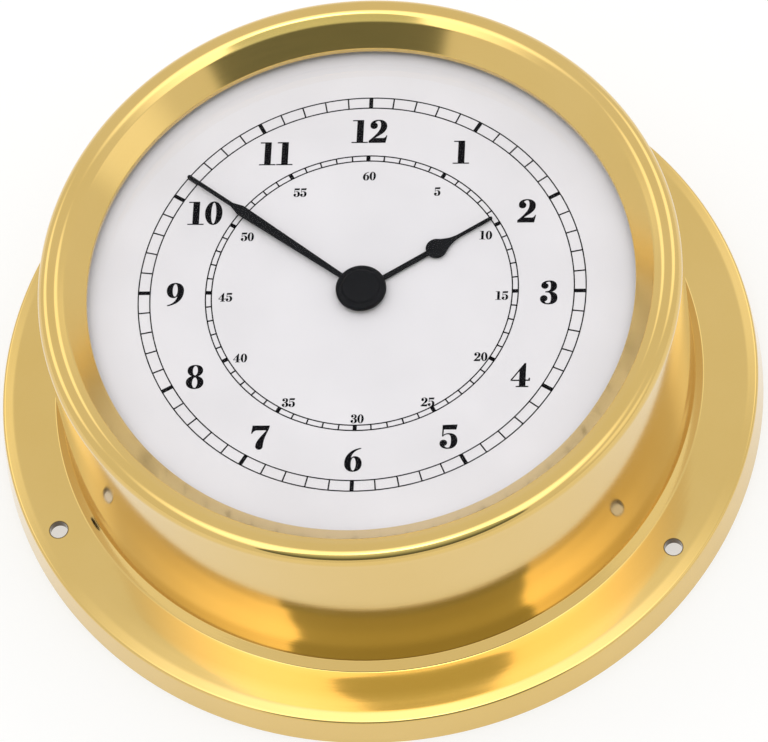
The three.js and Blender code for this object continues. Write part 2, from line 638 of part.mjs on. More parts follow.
// Motion work: minute wheel on its stud, and hour wheel with the hour pipe
function makeMotionWork() {
  const top = wheelTop(LEVEL.minute);
  const hourTop = wheelTop(LEVEL.hour);
  const hourBack = hourTop - WHEEL_THICKNESS;
  const wheel = gappedGear(MINUTE_WHEEL_TEETH, MODULE, top - WHEEL_THICKNESS, top, minuteAt, 180);
  const pinion = gear(
    MINUTE_PINION_TEETH, MODULE, top - WHEEL_THICKNESS / 2, hourTop + WHEEL_END_GAP / 2, minuteAt, 180);
  const studHole = bar(
    MINUTE_STUD_RADIUS + PIVOT_GAP, top - WHEEL_THICKNESS - CUT_PAST, frontInside, minuteAt);
  piece('minute_wheel', wheel.add(pinion).subtract(studHole), wheelPlastic);
  const hourGear = gappedGear(HOUR_WHEEL_TEETH, MODULE, hourBack, hourTop, CENTRE, 0);
  const pipe = bar(pipeOutside, hourBack, hourHandFront);
  const pipeHole = bar(pipeInside, hourBack - CUT_PAST, hourHandFront + CUT_PAST);
  piece('hour_wheel', hourGear.add(pipe).subtract(pipeHole), wheelPlastic);
}

// Wheel and pinion on a plain arbor between the cover and the front wall
function trainArbor(at) {
  const foot = coverInside - PIVOT_DEPTH;
  return bar(WHEEL_ARBOR_RADIUS, foot, frontInside + PIVOT_DEPTH - PIVOT_GAP, at);
}

function makeTrain() {
  const pairs = [
    ['third_wheel', thirdAt, THIRD_WHEEL_TEETH, MODULE, LEVEL.third, SECONDS_DIRECTION, THIRD_DIRECTION],
    ['seconds_wheel', secondsAt, SECONDS_WHEEL_TEETH, MODULE, LEVEL.seconds, INTERMEDIATE_DIRECTION,
      SECONDS_DIRECTION],
    ['intermediate_wheel', intermediateAt, INTERMEDIATE_TEETH, ROTOR_MODULE, LEVEL.intermediate,
      ROTOR_DIRECTION, INTERMEDIATE_DIRECTION],
  ];
  for (const [name, at, teeth, size, level, driverDirection, drivenDirection] of pairs) {
    const top = wheelTop(level);
    const pinionTop = wheelTop(level - 1);
    const wheel = gappedGear(teeth, size, top - WHEEL_THICKNESS, top, at, driverDirection);
    const pinion = gear(PINION_TEETH, MODULE, pinionTop - WHEEL_THICKNESS - PINION_OVERLAP,
      pinionTop + PINION_OVERLAP, at, drivenDirection + 180);
    piece(name, trainArbor(at).add(wheel).add(pinion), wheelPlastic);
  }
}

function makeRotor() {
  const pinionTop = wheelTop(LEVEL.intermediate) + PINION_OVERLAP;
  const pinionBack = wheelTop(LEVEL.intermediate) - WHEEL_THICKNESS - PINION_OVERLAP;
  const pinion = gear(PINION_TEETH, ROTOR_MODULE, pinionBack, pinionTop, rotorAt, ROTOR_DIRECTION + 180);
  piece('rotor_arbor', trainArbor(rotorAt).add(pinion), steel);
  const magnetMiddle = (statorBack + statorFront) / 2;
  const [from, to] = [magnetMiddle - MAGNET_HEIGHT / 2, magnetMiddle + MAGNET_HEIGHT / 2];
  piece('rotor_magnet', ring(WHEEL_ARBOR_RADIUS + PIVOT_GAP, MAGNET_RADIUS, from, to, rotorAt), magnetGrey);
}

// Stator: a ring round the rotor with an arm to each end of the coil
function makeMotor() {
  const bore = MAGNET_RADIUS + STATOR_BORE_GAP;
  const ringOuter = bore + STATOR_RING_WIDTH;
  const lugTop = coilY + CORE_WIDTH;
  const [neckLeft, neckRight] = [rotorAt.x - bore, rotorAt.x + bore];
  let stator = bar(ringOuter, statorBack, statorFront, rotorAt, ROUND_FACETS);
  stator = stator.add(block(neckLeft, neckRight, rotorAt.y, statorArmTop, statorBack, statorFront));
  stator = stator.add(block(-lugOuter, lugOuter, statorArmBottom, statorArmTop, statorBack, statorFront));
  stator = stator.add(block(-lugOuter, -lugInner, statorArmBottom, lugTop, statorBack, statorFront));
  stator = stator.add(block(lugInner, lugOuter, statorArmBottom, lugTop, statorBack, statorFront));
  stator = stator.subtract(bar(bore, statorBack - CUT_PAST, statorFront + CUT_PAST, rotorAt, ROUND_FACETS));
  let core = block(
    -lugOuter, lugOuter, coilY - CORE_WIDTH / 2, coilY + CORE_WIDTH / 2, coreBack, coreFront);
  for (const [name, side] of earSides) {
    const at = { x: side * motorScrewX, y: coilY };
    const hole = bar(MOTOR_SCREW_RADIUS + PIVOT_GAP, statorBack - CUT_PAST, coreFront + CUT_PAST, at);
    stator = stator.subtract(hole);
    core = core.subtract(hole);
    const headTop = statorBack - JOINT_GAP;
    const headBack = headTop - MOTOR_SCREW_HEAD_HEIGHT;
    const head = bar(MOTOR_SCREW_HEAD_RADIUS, headBack, headTop, at);
    const shank = bar(MOTOR_SCREW_RADIUS, headBack, frontInside - JOINT_GAP, at);
    piece(`motor_screw_${name}`, head.add(shank), steel);
  }
  piece('stator', stator, steel);
  piece('coil_core', core, steel);
}

function makeCoil() {
  const end = COIL_LENGTH / 2;
  const flangeInner = end - COIL_FLANGE_WIDTH;
  const coilZ = (coreBack + coreFront) / 2;
  const along = (body) => body.rotate([0, 90, 0]).translate(0, coilY, coilZ);
  const spool = along(turned([
    [0, -end],
    [COIL_FLANGE_RADIUS, -end],
    [COIL_FLANGE_RADIUS, -flangeInner],
    [COIL_TUBE_RADIUS, -flangeInner],
    [COIL_TUBE_RADIUS, flangeInner],
    [COIL_FLANGE_RADIUS, flangeInner],
    [COIL_FLANGE_RADIUS, end],
    [0, end],
  ], SMALL_FACETS));
  const wayEnd = end + CUT_PAST;
  const wayHalf = CORE_WIDTH / 2 + JOINT_GAP;
  const coreWay = block(-wayEnd, wayEnd, coilY - wayHalf, coilY + wayHalf,
    coreBack - JOINT_GAP, coreFront + JOINT_GAP);
  piece('coil_bobbin', spool.subtract(coreWay), blackPlastic);
  const windingEnd = flangeInner - JOINT_GAP;
  const winding = ring(COIL_TUBE_RADIUS + JOINT_GAP, COIL_WINDING_RADIUS, -windingEnd, windingEnd);
  piece('coil_winding', along(winding), copper);
}

function makeCircuit() {
  const left = -inside + JOINT_GAP;
  const right = left + BOARD_WIDTH;
  const bottom = trainBottomY + BOARD_INSET;
  const back = coverInside;
  const front = back + BOARD_THICKNESS;
  const middle = (left + right) / 2;
  piece('circuit_board', block(left, right, bottom, bottom + BOARD_LENGTH, back, front), boardGreen);
  const canX = middle - BOARD_WIDTH / 4;
  const can = bar(QUARTZ_RADIUS, -QUARTZ_LENGTH / 2, QUARTZ_LENGTH / 2).rotate([90, 0, 0]);
  const canY = bottom + BOARD_LENGTH / 2;
  piece('quartz_can', can.translate(canX, canY, front + JOINT_GAP + QUARTZ_RADIUS), steel);
  const chip = turned([
    [0, front],
    [CHIP_RADIUS, front],
    [CHIP_RADIUS - CHIP_SHOULDER_INSET, front + CHIP_HEIGHT - CHIP_SHOULDER_DROP],
    [CHIP_TOP_RADIUS, front + CHIP_HEIGHT],
    [0, front + CHIP_HEIGHT],
  ], SMALL_FACETS);
  piece('chip_cover', chip.translate(middle, bottom + BOARD_LENGTH / 4, 0), blackPlastic);
}

function makeSetting() {
  const top = wheelTop(LEVEL.minute);
  const pinionBack = top - WHEEL_THICKNESS - PINION_OVERLAP;
  const knobFront = movementBack - KNOB_GAP;
  const knobBack = knobFront - KNOB_HEIGHT;
  const seat = knobBack + KNOB_FLOOR;
  const pivot = bar(WHEEL_ARBOR_RADIUS, pinionBack, frontInside + PIVOT_DEPTH - PIVOT_GAP, settingAt);
  const pinion = gear(SETTING_TEETH, MODULE, pinionBack, top + PINION_OVERLAP, settingAt, 180);
  const shaft = bar(SETTING_ARBOR_RADIUS, seat, pinionBack + PINION_OVERLAP, settingAt);
  piece('setting_arbor', shaft.add(pinion).add(pivot), wheelPlastic);
  const points = Array.from({ length: 2 * KNOB_FLUTES }, (_, i) => {
    const angle = i * Math.PI / KNOB_FLUTES;
    const radius = KNOB_RADIUS - (i % 2) * KNOB_FLUTE_DEPTH;
    return [radius * Math.cos(angle), radius * Math.sin(angle)];
  });
  const knob = plate(outline(points), knobBack, knobFront).translate(settingAt.x, settingAt.y, 0);
  const hole = bar(SETTING_ARBOR_RADIUS + PIVOT_GAP, seat - JOINT_GAP, knobFront + CUT_PAST, settingAt);
  piece('setting_knob', knob.subtract(hole), knobRed);
}

// Half outline of a hand, mirrored about its own length
function handOutline(points) {
  const mirrored = points.map(([along, side]) => [along, -side]).reverse();
  return outline([...points, ...mirrored]);
}

// A hand lies along +X and is then turned to its place on the dial
function placeHand(shape, back, boss, hole, angle) {
  const blade = plate(shape, back, back + HAND_THICKNESS);
  const disc = bar(boss, back, back + HAND_THICKNESS, CENTRE, ROUND_FACETS);
  const boring = bar(hole, back - CUT_PAST, back + HAND_THICKNESS + CUT_PAST);
  return blade.add(disc).subtract(boring).rotate([0, 0, 90 - angle]);
}

function makeHands() {
  const bulbStart = Math.asin(HOUR_STEM_WIDTH / 2 / HOUR_BULB_RADIUS) / degrees;
  const bulb = arc(HOUR_BULB_CENTRE, 0, HOUR_BULB_RADIUS, 180 - bulbStart, HOUR_BULB_FLANK, BULB_STEPS);
  const [flankAlong, flankSide] = bulb.at(-1);
  const flank = new THREE.QuadraticBezierCurve(
    new THREE.Vector2(flankAlong, flankSide),
    new THREE.Vector2((flankAlong + HOUR_BULB_END) / 2, HOUR_TIP_WIDTH / 2),
    new THREE.Vector2(HOUR_BULB_END, HOUR_TIP_WIDTH / 2),
  ).getPoints(BULB_STEPS).slice(1).map(({ x, y }) => [x, y]);
  const hour = handOutline([
    [0, HOUR_STEM_WIDTH / 2],
    ...bulb,
    ...flank,
    [HOUR_LENGTH, HOUR_TIP_WIDTH / 2],
  ]);
  const needleStart = minuteLength - MINUTE_NEEDLE_LENGTH;
  const minute = handOutline([
    [0, MINUTE_ROOT_WIDTH / 2],
    [needleStart - MINUTE_SHOULDER_LENGTH, MINUTE_WIDEST_WIDTH / 2],
    [needleStart, MINUTE_NEEDLE_WIDTH / 2],
    [minuteLength, MINUTE_NEEDLE_WIDTH / 2],
  ]);
  const hourHole = pipeOutside + JOINT_GAP;
  const minuteHole = ARBOR_RADIUS + JOINT_GAP;
  const hourHand = placeHand(hour, hourHandBack, HOUR_BOSS_RADIUS, hourHole, HOUR_ANGLE);
  const minuteHand = placeHand(minute, minuteHandBack, HUB_DIAMETER / 2, minuteHole, MINUTE_ANGLE);
  piece('hour_hand', hourHand, handBlack);
  piece('minute_hand', minuteHand, handBlack);
  const capTop = minuteHandFront + HUB_HEIGHT;
  piece('hub_cap', turned([
    [0, minuteHandFront],
    [HUB_DIAMETER / 2, minuteHandFront],
    [HUB_DIAMETER / 2, capTop - HUB_HEIGHT / 2],
    [HUB_CROWN_DIAMETER / 2, capTop],
    [HUB_CROWN_DIAMETER / 4, capTop + HUB_CROWN_HEIGHT],
    [0, capTop + HUB_CROWN_HEIGHT],
  ], ROUND_FACETS), handBlack);
}

makeCaseShell();
makeCrystalGasket();
makeCrystal();
makeDialAndCarrier();
makeSnapRing();
makeCarrierScrews();
makeMovementHousing();
makeMovementCover();
makeCentreBush();
makeContacts(makeBattery());
makeMinuteArbor();
makeMotionWork();
makeTrain();
makeRotor();
makeMotor();
makeCoil();
makeCircuit();
makeSetting();
makeHands();

export default clock;
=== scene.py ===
"""Looks of a brass ship's clock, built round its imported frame.

Metres, +Z out of the dial, +Y to twelve o'clock.
"""

import math

import bmesh
import bpy
from mathutils import Matrix, Vector


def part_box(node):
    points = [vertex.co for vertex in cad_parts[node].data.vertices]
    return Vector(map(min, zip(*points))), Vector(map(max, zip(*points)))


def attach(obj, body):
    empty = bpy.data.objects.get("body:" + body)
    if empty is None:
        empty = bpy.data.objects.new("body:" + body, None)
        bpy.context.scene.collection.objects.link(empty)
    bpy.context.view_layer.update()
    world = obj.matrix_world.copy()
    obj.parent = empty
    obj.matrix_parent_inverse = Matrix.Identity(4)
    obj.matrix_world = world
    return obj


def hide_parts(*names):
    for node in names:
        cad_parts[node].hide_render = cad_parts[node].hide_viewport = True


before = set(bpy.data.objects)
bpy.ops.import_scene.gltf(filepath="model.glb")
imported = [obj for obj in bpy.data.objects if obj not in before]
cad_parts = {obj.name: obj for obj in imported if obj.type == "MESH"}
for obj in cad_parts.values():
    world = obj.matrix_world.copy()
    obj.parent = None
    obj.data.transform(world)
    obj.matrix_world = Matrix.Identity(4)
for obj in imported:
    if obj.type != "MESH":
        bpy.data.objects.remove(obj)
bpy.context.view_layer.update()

MM = 0.001

# Camera, as the photograph was taken, with angles in degrees
PHOTO_WIDTH = 768
PHOTO_HEIGHT = 742
ORIGIN_PIXEL = (382.1, 399.4)
PIXELS_PER_METRE = 6355
VIEW_DISTANCE = 1200 * MM
VIEW_AZIMUTH = 11.95
VIEW_ELEVATION = 61.08
VIEW_ROLL = 10.78
SENSOR_WIDTH = 36

# Spun brass case, from the flange inwards. The holes stand a few degrees clockwise of twelve
FLANGE_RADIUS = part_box("case_shell")[1].x
CASE_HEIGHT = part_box("case_shell")[1].z
SHEET = 1 * MM
DRUM_RADIUS = 49.5 * MM
FLANGE_HEIGHT = 5.8 * MM
FLANGE_RISE = 0.34 * MM
FLANGE_DRAFT = 0.6 * MM
FLANGE_EDGE_ROUNDING = 0.5 * MM
FLANGE_SHOULDER_RUN = 1.8 * MM
FLANGE_SHOULDER_DROP = 0.25 * MM
FLANGE_SHOULDER_ROUNDING = 8 * MM
FLANGE_CROWN_RUN = 2.4 * MM
FLANGE_CROWN_RISE = 0.18 * MM
FLANGE_CROWN_ROUNDING = 45 * MM
COVE_RUN = 1.4 * MM
COVE_HEIGHT = 1.7 * MM
COVE_FOOT_ROUNDING = 0.25 * MM
COVE_ROUNDING = 0.5 * MM
FLARE_RUN = 0.25 * MM
FLARE_TOP = 12 * MM
FLARE_ROUNDING = 40 * MM
COVE_BACK_ROUNDING = 3.2 * MM
RIM_WIDTH = 2.8 * MM
RIM_ROUNDING = 1.8 * MM
RIM_BACK_ROUNDING = 0.8 * MM
SLOPE_RUN = 4.5 * MM
SLOPE_DROP = 3.8 * MM
SLOPE_BREAK_RUN = 1.4 * MM
SLOPE_BREAK_DROP = 0.75 * MM
SLOPE_TOP_ROUNDING = 1.8 * MM
SLOPE_BREAK_ROUNDING = 0.9 * MM
LIP_HEIGHT = 0.8 * MM
LIP_ROUNDING = 0.4 * MM
DIAL_OPENING = DRUM_RADIUS - RIM_WIDTH - SLOPE_RUN
HOLE_COUNT = 3
HOLE_RADIUS = 1.4 * MM
HOLE_INSET = 4.6 * MM
HOLE_CIRCLE = FLANGE_RADIUS - HOLE_INSET
HOLE_TURN_DEGREES = 2
CASE_FACETS = 288

# Domed crystal
CRYSTAL_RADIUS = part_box("crystal")[1].x
CRYSTAL_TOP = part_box("crystal")[1].z
DIAL_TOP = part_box("dial_plate")[1].z
CRYSTAL_THICKNESS = 1.2 * MM
CRYSTAL_LIP_CLEARANCE = 0.3 * MM
CRYSTAL_CROWN_POWER = 4
CRYSTAL_SEAT_GAP = 0.02 * MM
CRYSTAL_CROWN_STEPS = 40
CRYSTAL_FACETS = 144

# Dial print
INK_HEIGHT = 0.03 * MM
INK_SUNK = 0.01 * MM
MINUTE_TRACK_OUTER = 34.6 * MM
MINUTE_TRACK_INNER = 32.6 * MM
SECOND_TRACK_OUTER = 24.2 * MM
SECOND_TRACK_INNER = 23.1 * MM
TRACK_LINE_WIDTH = 0.19 * MM
HOURS = 12
MARKS_PER_HOUR = 5
TRACK_DIVISIONS = HOURS * MARKS_PER_HOUR
MARK_WIDTH = 0.22 * MM
HOUR_MARK_WIDTH = 0.62 * MM
TRACK_FACETS = 240
HOUR_NUMERAL_CIRCLE = 28.8 * MM
HOUR_NUMERAL_HEIGHT = 4.1 * MM
HOUR_NUMERAL_SHIFT = (0, -0.3 * MM)
SECOND_NUMERAL_CIRCLE = 21.3 * MM
SECOND_NUMERAL_HEIGHT = 1.5 * MM
SECOND_NUMERAL_SHIFT = (0.3 * MM, -0.8 * MM)
FIGURE_HEIGHT = 100
FIGURE_SPACING = 3

# Hands, with angles in degrees clockwise from twelve
HAND_ROUNDING = 0.06 * MM
HOUR_ANGLE = 57.2
HOUR_BOSS_RADIUS = 3.3 * MM
HOUR_LENGTH = 23.4 * MM
HOUR_STEM_WIDTH = 0.85 * MM
HOUR_TIP_WIDTH = 0.55 * MM
HOUR_BULB_RADIUS = 1.65 * MM
HOUR_BULB_CENTRE = 13.4 * MM
HOUR_BULB_END = 17.5 * MM
HOUR_BULB_FLANK = 50
MINUTE_ANGLE = 305.9
MINUTE_LENGTH = 34.4 * MM
MINUTE_ROOT_WIDTH = 0.85 * MM
MINUTE_WIDEST_WIDTH = 1.7 * MM
MINUTE_SHOULDER = 1.7 * MM
MINUTE_NEEDLE = 8.8 * MM
MINUTE_NEEDLE_WIDTH = 0.65 * MM
HUB_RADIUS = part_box("hub_cap")[1].x
HUB_INNER_RADIUS = 2.75 * MM
HUB_INNER_FLARE = 0.25 * MM
HUB_STEP_SHARE = 0.62
HUB_STEP_ROUNDING = 0.45 * MM
HUB_FOOT_ROUNDING = 0.2 * MM
HUB_TOP_ROUNDING = 0.35 * MM
HUB_FACETS = 96

# Back of the clock
KNOB_RADIUS = 5 * MM
KNOB_BORE = 1.5 * MM
KNOB_FLOOR = 1 * MM
KNOB_DISH_RADIUS = 3.2 * MM
KNOB_DISH_DEPTH = 0.35 * MM
KNOB_DISH_ROUNDING = 0.3 * MM
KNOB_BROW_ROUNDING = 0.2 * MM
KNOB_BACK_ROUNDING = 0.5 * MM
KNOB_FRONT_ROUNDING = 0.25 * MM
KNOB_FLUTES = 18
KNOB_FLUTE_DEPTH = 0.4 * MM
KNOB_FLUTE_RADIUS = 0.75 * MM
KNOB_FACETS = 144
CELL_BASE_RADIUS = 4.8 * MM
CELL_BASE_DEPTH = 0.2 * MM
CELL_BASE_ROUNDING = 0.1 * MM
CELL_CRIMP_ROUNDING = 0.6 * MM
CELL_SLEEVE_ROUNDING = 0.3 * MM
CELL_CAP_ROUNDING = 0.45 * MM
CELL_NUB_RADIUS = 2.75 * MM
CELL_NUB_LENGTH = 1.3 * MM
CELL_NUB_FOOT_ROUNDING = 0.3 * MM
CELL_NUB_ROUNDING = 0.5 * MM
CELL_FACETS = 96
SNAP_RING_WIDTH = 1.2 * MM
SNAP_RING_ROUNDING = 0.3 * MM
SNAP_RING_SPLIT_DEGREES = 24
SNAP_RING_CORNER_STEPS = 3
SNAP_RING_FACETS = 220
MOULDING_EDGE = 0.22 * MM
SCREW_EDGE = 0.1 * MM
CONTACT_EDGE = 0.08 * MM

# Finishes. Real buffing lines and grains are finer: these are as coarse as they need to be to show
BRASS_PALE = "E2C174"
BRASS_DEEP = "DEBC6C"
# Painted shade: the dark colour laid round and inside each hole, in place of the dark that its edge and wall
# mirror
PAINTED_HOLE_SHADE = "4A3A20"
BRASS_PATCH = 22.2 * MM
BRASS_GLOSS_LOW = 0.04
BRASS_GLOSS_HIGH = 0.09
BUFFING_SPACING = 0.385 * MM
BUFFING_DEPTH = 0.04 * MM
BUFFING_STRENGTH = 0.05
BUFFING_ROUND_RADIUS = 2 * MM
# How far from each hole's edge the painted shade starts to fade and is gone
HOLE_SHADE_NEAR = 0.05 * MM
HOLE_SHADE_FAR = 0.22 * MM
SLOPE_DULLNESS = 0.07
GRAIN_STRENGTH = 0.4
GRAIN_GLOSS_SPREAD = 0.05
PATCH_SIZE = 16.7 * MM
PATCH_SHADE = 0.94
NOISE_LOW = 0.3
NOISE_HIGH = 0.7
ACRYLIC_INDEX = 1.49
COATING_SHARE = 0.05

# Light tent, with bearings from the camera's side, elevations and reaches in degrees
ROOM_LIGHT = 0.87
PANELS = {
    "roof": {"bearing": -8, "elevation": 76, "reach": 39, "core": 17, "light": 1.3},
    "lamp": {"bearing": 0, "elevation": 84, "reach": 9, "core": 4, "light": 2.2},
    "back_left": {"bearing": -135, "elevation": 45, "reach": 18, "core": 6, "light": 0.7},
    "back_right": {"bearing": 135, "elevation": 45, "reach": 18, "core": 6, "light": 0.7},
    "right": {"bearing": 68, "elevation": 29, "reach": 18, "core": 6, "light": 0.35},
}
OPENING_LOW_LIGHT = 0.18
OPENING_HIGH_LIGHT = 1.15
OPENING_DIM_ELEVATION = 33
OPENING_TINT = "E6F1E4"
OPENING_LEFT = -45
OPENING_RIGHT = 36
OPENING_BOTTOM = 22
OPENING_TOP = 74
OPENING_SQUARENESS = 4
OPENING_EDGE = 0.15
FLOOR_RADIUS = 4
FLOOR_FACETS = 96
FLOOR_WHITE_SHARE = 0.6

# How finely curves are drawn, and when edges and points count as hard, flat or the same
ARC_STEP = math.radians(6)
ARC_LEAST_STEPS = 3
CURVE_STEPS = 9
EDGE_STEPS = 2
DRILL_FACETS = 48
DRILL_REACH = 4
SUPPORT_REACH = 0.12 * MM
SUPPORT_LEAST_RUN = 5 * SUPPORT_REACH
SHARP_ANGLE = math.radians(32)
HARD_EDGE = math.radians(35)
FLAT_ANGLE = math.radians(1)
SMOOTH_AREA = 4 * MM * MM
SAME_POINT = 1e-7
SAME_CORNER = 1e-6


def linear(code):
    """Linear RGBA of an sRGB hex colour."""
    shares = [int(code[i:i + 2], 16) / 255 for i in (0, 2, 4)]
    return (*[s / 12.92 if s <= 0.04045 else ((s + 0.055) / 1.055) ** 2.4 for s in shares], 1)


def node(tree, kind, inputs=None, **settings):
    """A new node with its settings, and its inputs set to values or linked to sockets."""
    made = tree.nodes.new(kind)
    for name, value in settings.items():
        setattr(made, name, value)
    for name, value in (inputs or {}).items():
        if isinstance(value, bpy.types.NodeSocket):
            tree.links.new(value, made.inputs[name])
        else:
            made.inputs[name].default_value = value
    return made


# Materials


def new_finish(name):
    """An empty material and its tree."""
    material = bpy.data.materials.new(name)
    material.use_nodes = True
    material.node_tree.nodes.clear()
    return material, material.node_tree


def mottle(tree, size, detail=3):
    """Soft spots of the given size in metres, from 0 to 1."""
    place = node(tree, "ShaderNodeTexCoord")
    noise = node(tree, "ShaderNodeTexNoise", {
        "Vector": place.outputs["Object"], "Scale": 1 / size, "Detail": detail})
    return node(tree, "ShaderNodeMapRange", {
        "Value": noise.outputs[0], "From Min": NOISE_LOW, "From Max": NOISE_HIGH})


def polished_brass():
    """Sheet brass, spun, buffed and lacquered: a warm mirror with fine buffing lines round the axis.

    The sloped inner rim is less buffed and mirrors more softly. Round the holes and on their walls a dark
    ring of painted shade is laid on the brass, standing for the dark that the holes' edges and walls mirror.
    """
    material, tree = new_finish("lacquered_spun_brass")

    # Buffing lines, drawn out round the axis
    place = node(tree, "ShaderNodeTexCoord")
    parts = node(tree, "ShaderNodeSeparateXYZ", {0: place.outputs["Object"]})
    flat = node(tree, "ShaderNodeCombineXYZ", {0: parts.outputs[0], 1: parts.outputs[1]})
    radius = node(tree, "ShaderNodeVectorMath", {0: flat.outputs[0]}, operation="LENGTH")
    turn = node(tree, "ShaderNodeMath", {0: parts.outputs[1], 1: parts.outputs[0]}, operation="ARCTAN2")
    arc = node(tree, "ShaderNodeMath", {0: turn.outputs[0], 1: BUFFING_ROUND_RADIUS}, operation="MULTIPLY")
    lines = node(tree, "ShaderNodeCombineXYZ", {
        0: radius.outputs["Value"], 1: parts.outputs[2], 2: arc.outputs[0]})
    buffing = node(tree, "ShaderNodeTexNoise", {
        "Vector": lines.outputs[0], "Scale": 1 / BUFFING_SPACING, "Detail": 4})
    bump = node(tree, "ShaderNodeBump", {
        "Strength": BUFFING_STRENGTH, "Distance": BUFFING_DEPTH, "Height": buffing.outputs[0]})

    # Colour in faint patches, and painted shade by the distance from the nearest hole: a dark ring round each
    # hole and on its wall
    tint = mottle(tree, BRASS_PATCH)
    unshaded_colour = node(tree, "ShaderNodeMix", {
        "Factor": tint.outputs[0], 6: linear(BRASS_PALE), 7: linear(BRASS_DEEP)}, data_type="RGBA")
    spacing = math.tau / HOLE_COUNT
    from_top = node(tree, "ShaderNodeMath", {
        0: turn.outputs[0], 1: math.radians(90 - HOLE_TURN_DEGREES)}, operation="SUBTRACT")
    from_hole = node(tree, "ShaderNodeMath", {
        0: from_top.outputs[0], 1: spacing / 2, 2: -spacing / 2}, operation="WRAP")
    sideways = node(tree, "ShaderNodeMath", {
        0: from_hole.outputs[0], 1: radius.outputs["Value"]}, operation="MULTIPLY")
    outwards = node(tree, "ShaderNodeMath", {
        0: radius.outputs["Value"], 1: HOLE_CIRCLE}, operation="SUBTRACT")
    away = node(tree, "ShaderNodeCombineXYZ", {0: outwards.outputs[0], 1: sideways.outputs[0]})
    hole = node(tree, "ShaderNodeVectorMath", {0: away.outputs[0]}, operation="LENGTH")
    # Painted shade: full at and inside each hole, fading out a short way from its edge
    hole_shade_share = node(tree, "ShaderNodeMapRange", {
        "Value": hole.outputs["Value"], "From Min": HOLE_RADIUS + HOLE_SHADE_NEAR,
        "From Max": HOLE_RADIUS + HOLE_SHADE_FAR, "To Min": 1, "To Max": 0})
    colour = node(tree, "ShaderNodeMix", {
        "Factor": hole_shade_share.outputs[0], 6: unshaded_colour.outputs[2], 7: linear(PAINTED_HOLE_SHADE)}, data_type="RGBA")

    # Gloss, which the inner slope loses below its break
    gloss = node(tree, "ShaderNodeMapRange", {
        "Value": buffing.outputs[0], "To Min": BRASS_GLOSS_LOW, "To Max": BRASS_GLOSS_HIGH})
    slope_edge = DRUM_RADIUS - RIM_WIDTH
    inside = node(tree, "ShaderNodeMapRange", {
        "Value": radius.outputs["Value"], "From Min": slope_edge - SLOPE_BREAK_RUN, "From Max": slope_edge,
        "To Min": SLOPE_DULLNESS, "To Max": 0})
    above = node(tree, "ShaderNodeMath", {
        0: parts.outputs[2], 1: CASE_HEIGHT - SLOPE_DROP - LIP_HEIGHT}, operation="GREATER_THAN")
    turned = node(tree, "ShaderNodeMath", {
        0: inside.outputs[0], 1: above.outputs[0], 2: gloss.outputs[0]}, operation="MULTIPLY_ADD")

    around = node(tree, "ShaderNodeTangent", direction_type="RADIAL", axis="Z")
    shader = node(tree, "ShaderNodeBsdfPrincipled", {
        "Base Color": colour.outputs[2], "Roughness": turned.outputs[0], "Normal": bump.outputs[0],
        "Tangent": around.outputs[0], "Metallic": 1, "Anisotropic": 0.8, "Anisotropic Rotation": 0.25,
        "Coat Weight": 0.6, "Coat Roughness": 0.12, "Coat IOR": 1.5})
    node(tree, "ShaderNodeOutputMaterial", {"Surface": shader.outputs[0]})
    return material


def grained(name, code, roughness, grain, depth, **inputs):
    """A surface with a fine grain of the given size and depth in metres, and faint darker patches."""
    material, tree = new_finish(name)
    spots = mottle(tree, grain)
    bump = node(tree, "ShaderNodeBump", {
        "Strength": GRAIN_STRENGTH, "Distance": depth, "Height": spots.outputs[0]})
    patches = mottle(tree, PATCH_SIZE, detail=2)
    dark = [share * PATCH_SHADE for share in linear(code)[:3]] + [1]
    colour = node(tree, "ShaderNodeMix", {
        "Factor": patches.outputs[0], 6: dark, 7: linear(code)}, data_type="RGBA")
    gloss = node(tree, "ShaderNodeMapRange", {
        "Value": spots.outputs[0], "To Min": roughness - GRAIN_GLOSS_SPREAD,
        "To Max": roughness + GRAIN_GLOSS_SPREAD})
    shader = node(tree, "ShaderNodeBsdfPrincipled", {
        "Base Color": colour.outputs[2], "Roughness": gloss.outputs[0], "Normal": bump.outputs[0], **inputs})
    node(tree, "ShaderNodeOutputMaterial", {"Surface": shader.outputs[0]})
    return material


def clear_acrylic():
    """Coated acrylic: it lets light through unbent, and mirrors a little at a slant."""
    material, tree = new_finish("clear_acrylic")
    slant = node(tree, "ShaderNodeFresnel", {"IOR": ACRYLIC_INDEX})
    coated = node(tree, "ShaderNodeMath", {0: slant.outputs[0], 1: COATING_SHARE}, operation="MULTIPLY")
    through = node(tree, "ShaderNodeBsdfTransparent", {"Color": (1, 1, 1, 1)})
    mirror = node(tree, "ShaderNodeBsdfGlossy", {"Color": (1, 1, 1, 1), "Roughness": 0.03})
    mix = node(tree, "ShaderNodeMixShader", {
        0: coated.outputs[0], 1: through.outputs[0], 2: mirror.outputs[0]})
    node(tree, "ShaderNodeOutputMaterial", {"Surface": mix.outputs[0]})
    return material


BRASS = polished_brass()
CLEAR = clear_acrylic()

# Sprayed dial lacquer: matt white with a faint cool cast, and no clear reflection
DIAL_PAINT = grained("white_dial_lacquer", "E3E0E4", 0.55, 0.25 * MM, 0.004 * MM)

# Ink printed on the dial: flat black without shine
INK = grained("black_printing_ink", "0E0D11", 0.6, 0.15 * MM, 0.001 * MM, **{"Specular IOR Level": 0.03})

# Satin paint on stamped hands: black with a weak soft shine
HAND_PAINT = grained(
    "satin_black_hand_paint", "0D0E12", 0.45, 0.2 * MM, 0.001 * MM, **{"Specular IOR Level": 0.1})

# Moulded ABS: near black, with a fine mould grain that softens its shine
BLACK_ABS = grained("moulded_black_abs", "28282B", 0.5, 0.3 * MM, 0.02 * MM)

# Moulded ABS dyed red: the same grain, a little glossier
RED_ABS = grained("moulded_red_abs", "A3231E", 0.45, 0.3 * MM, 0.02 * MM)

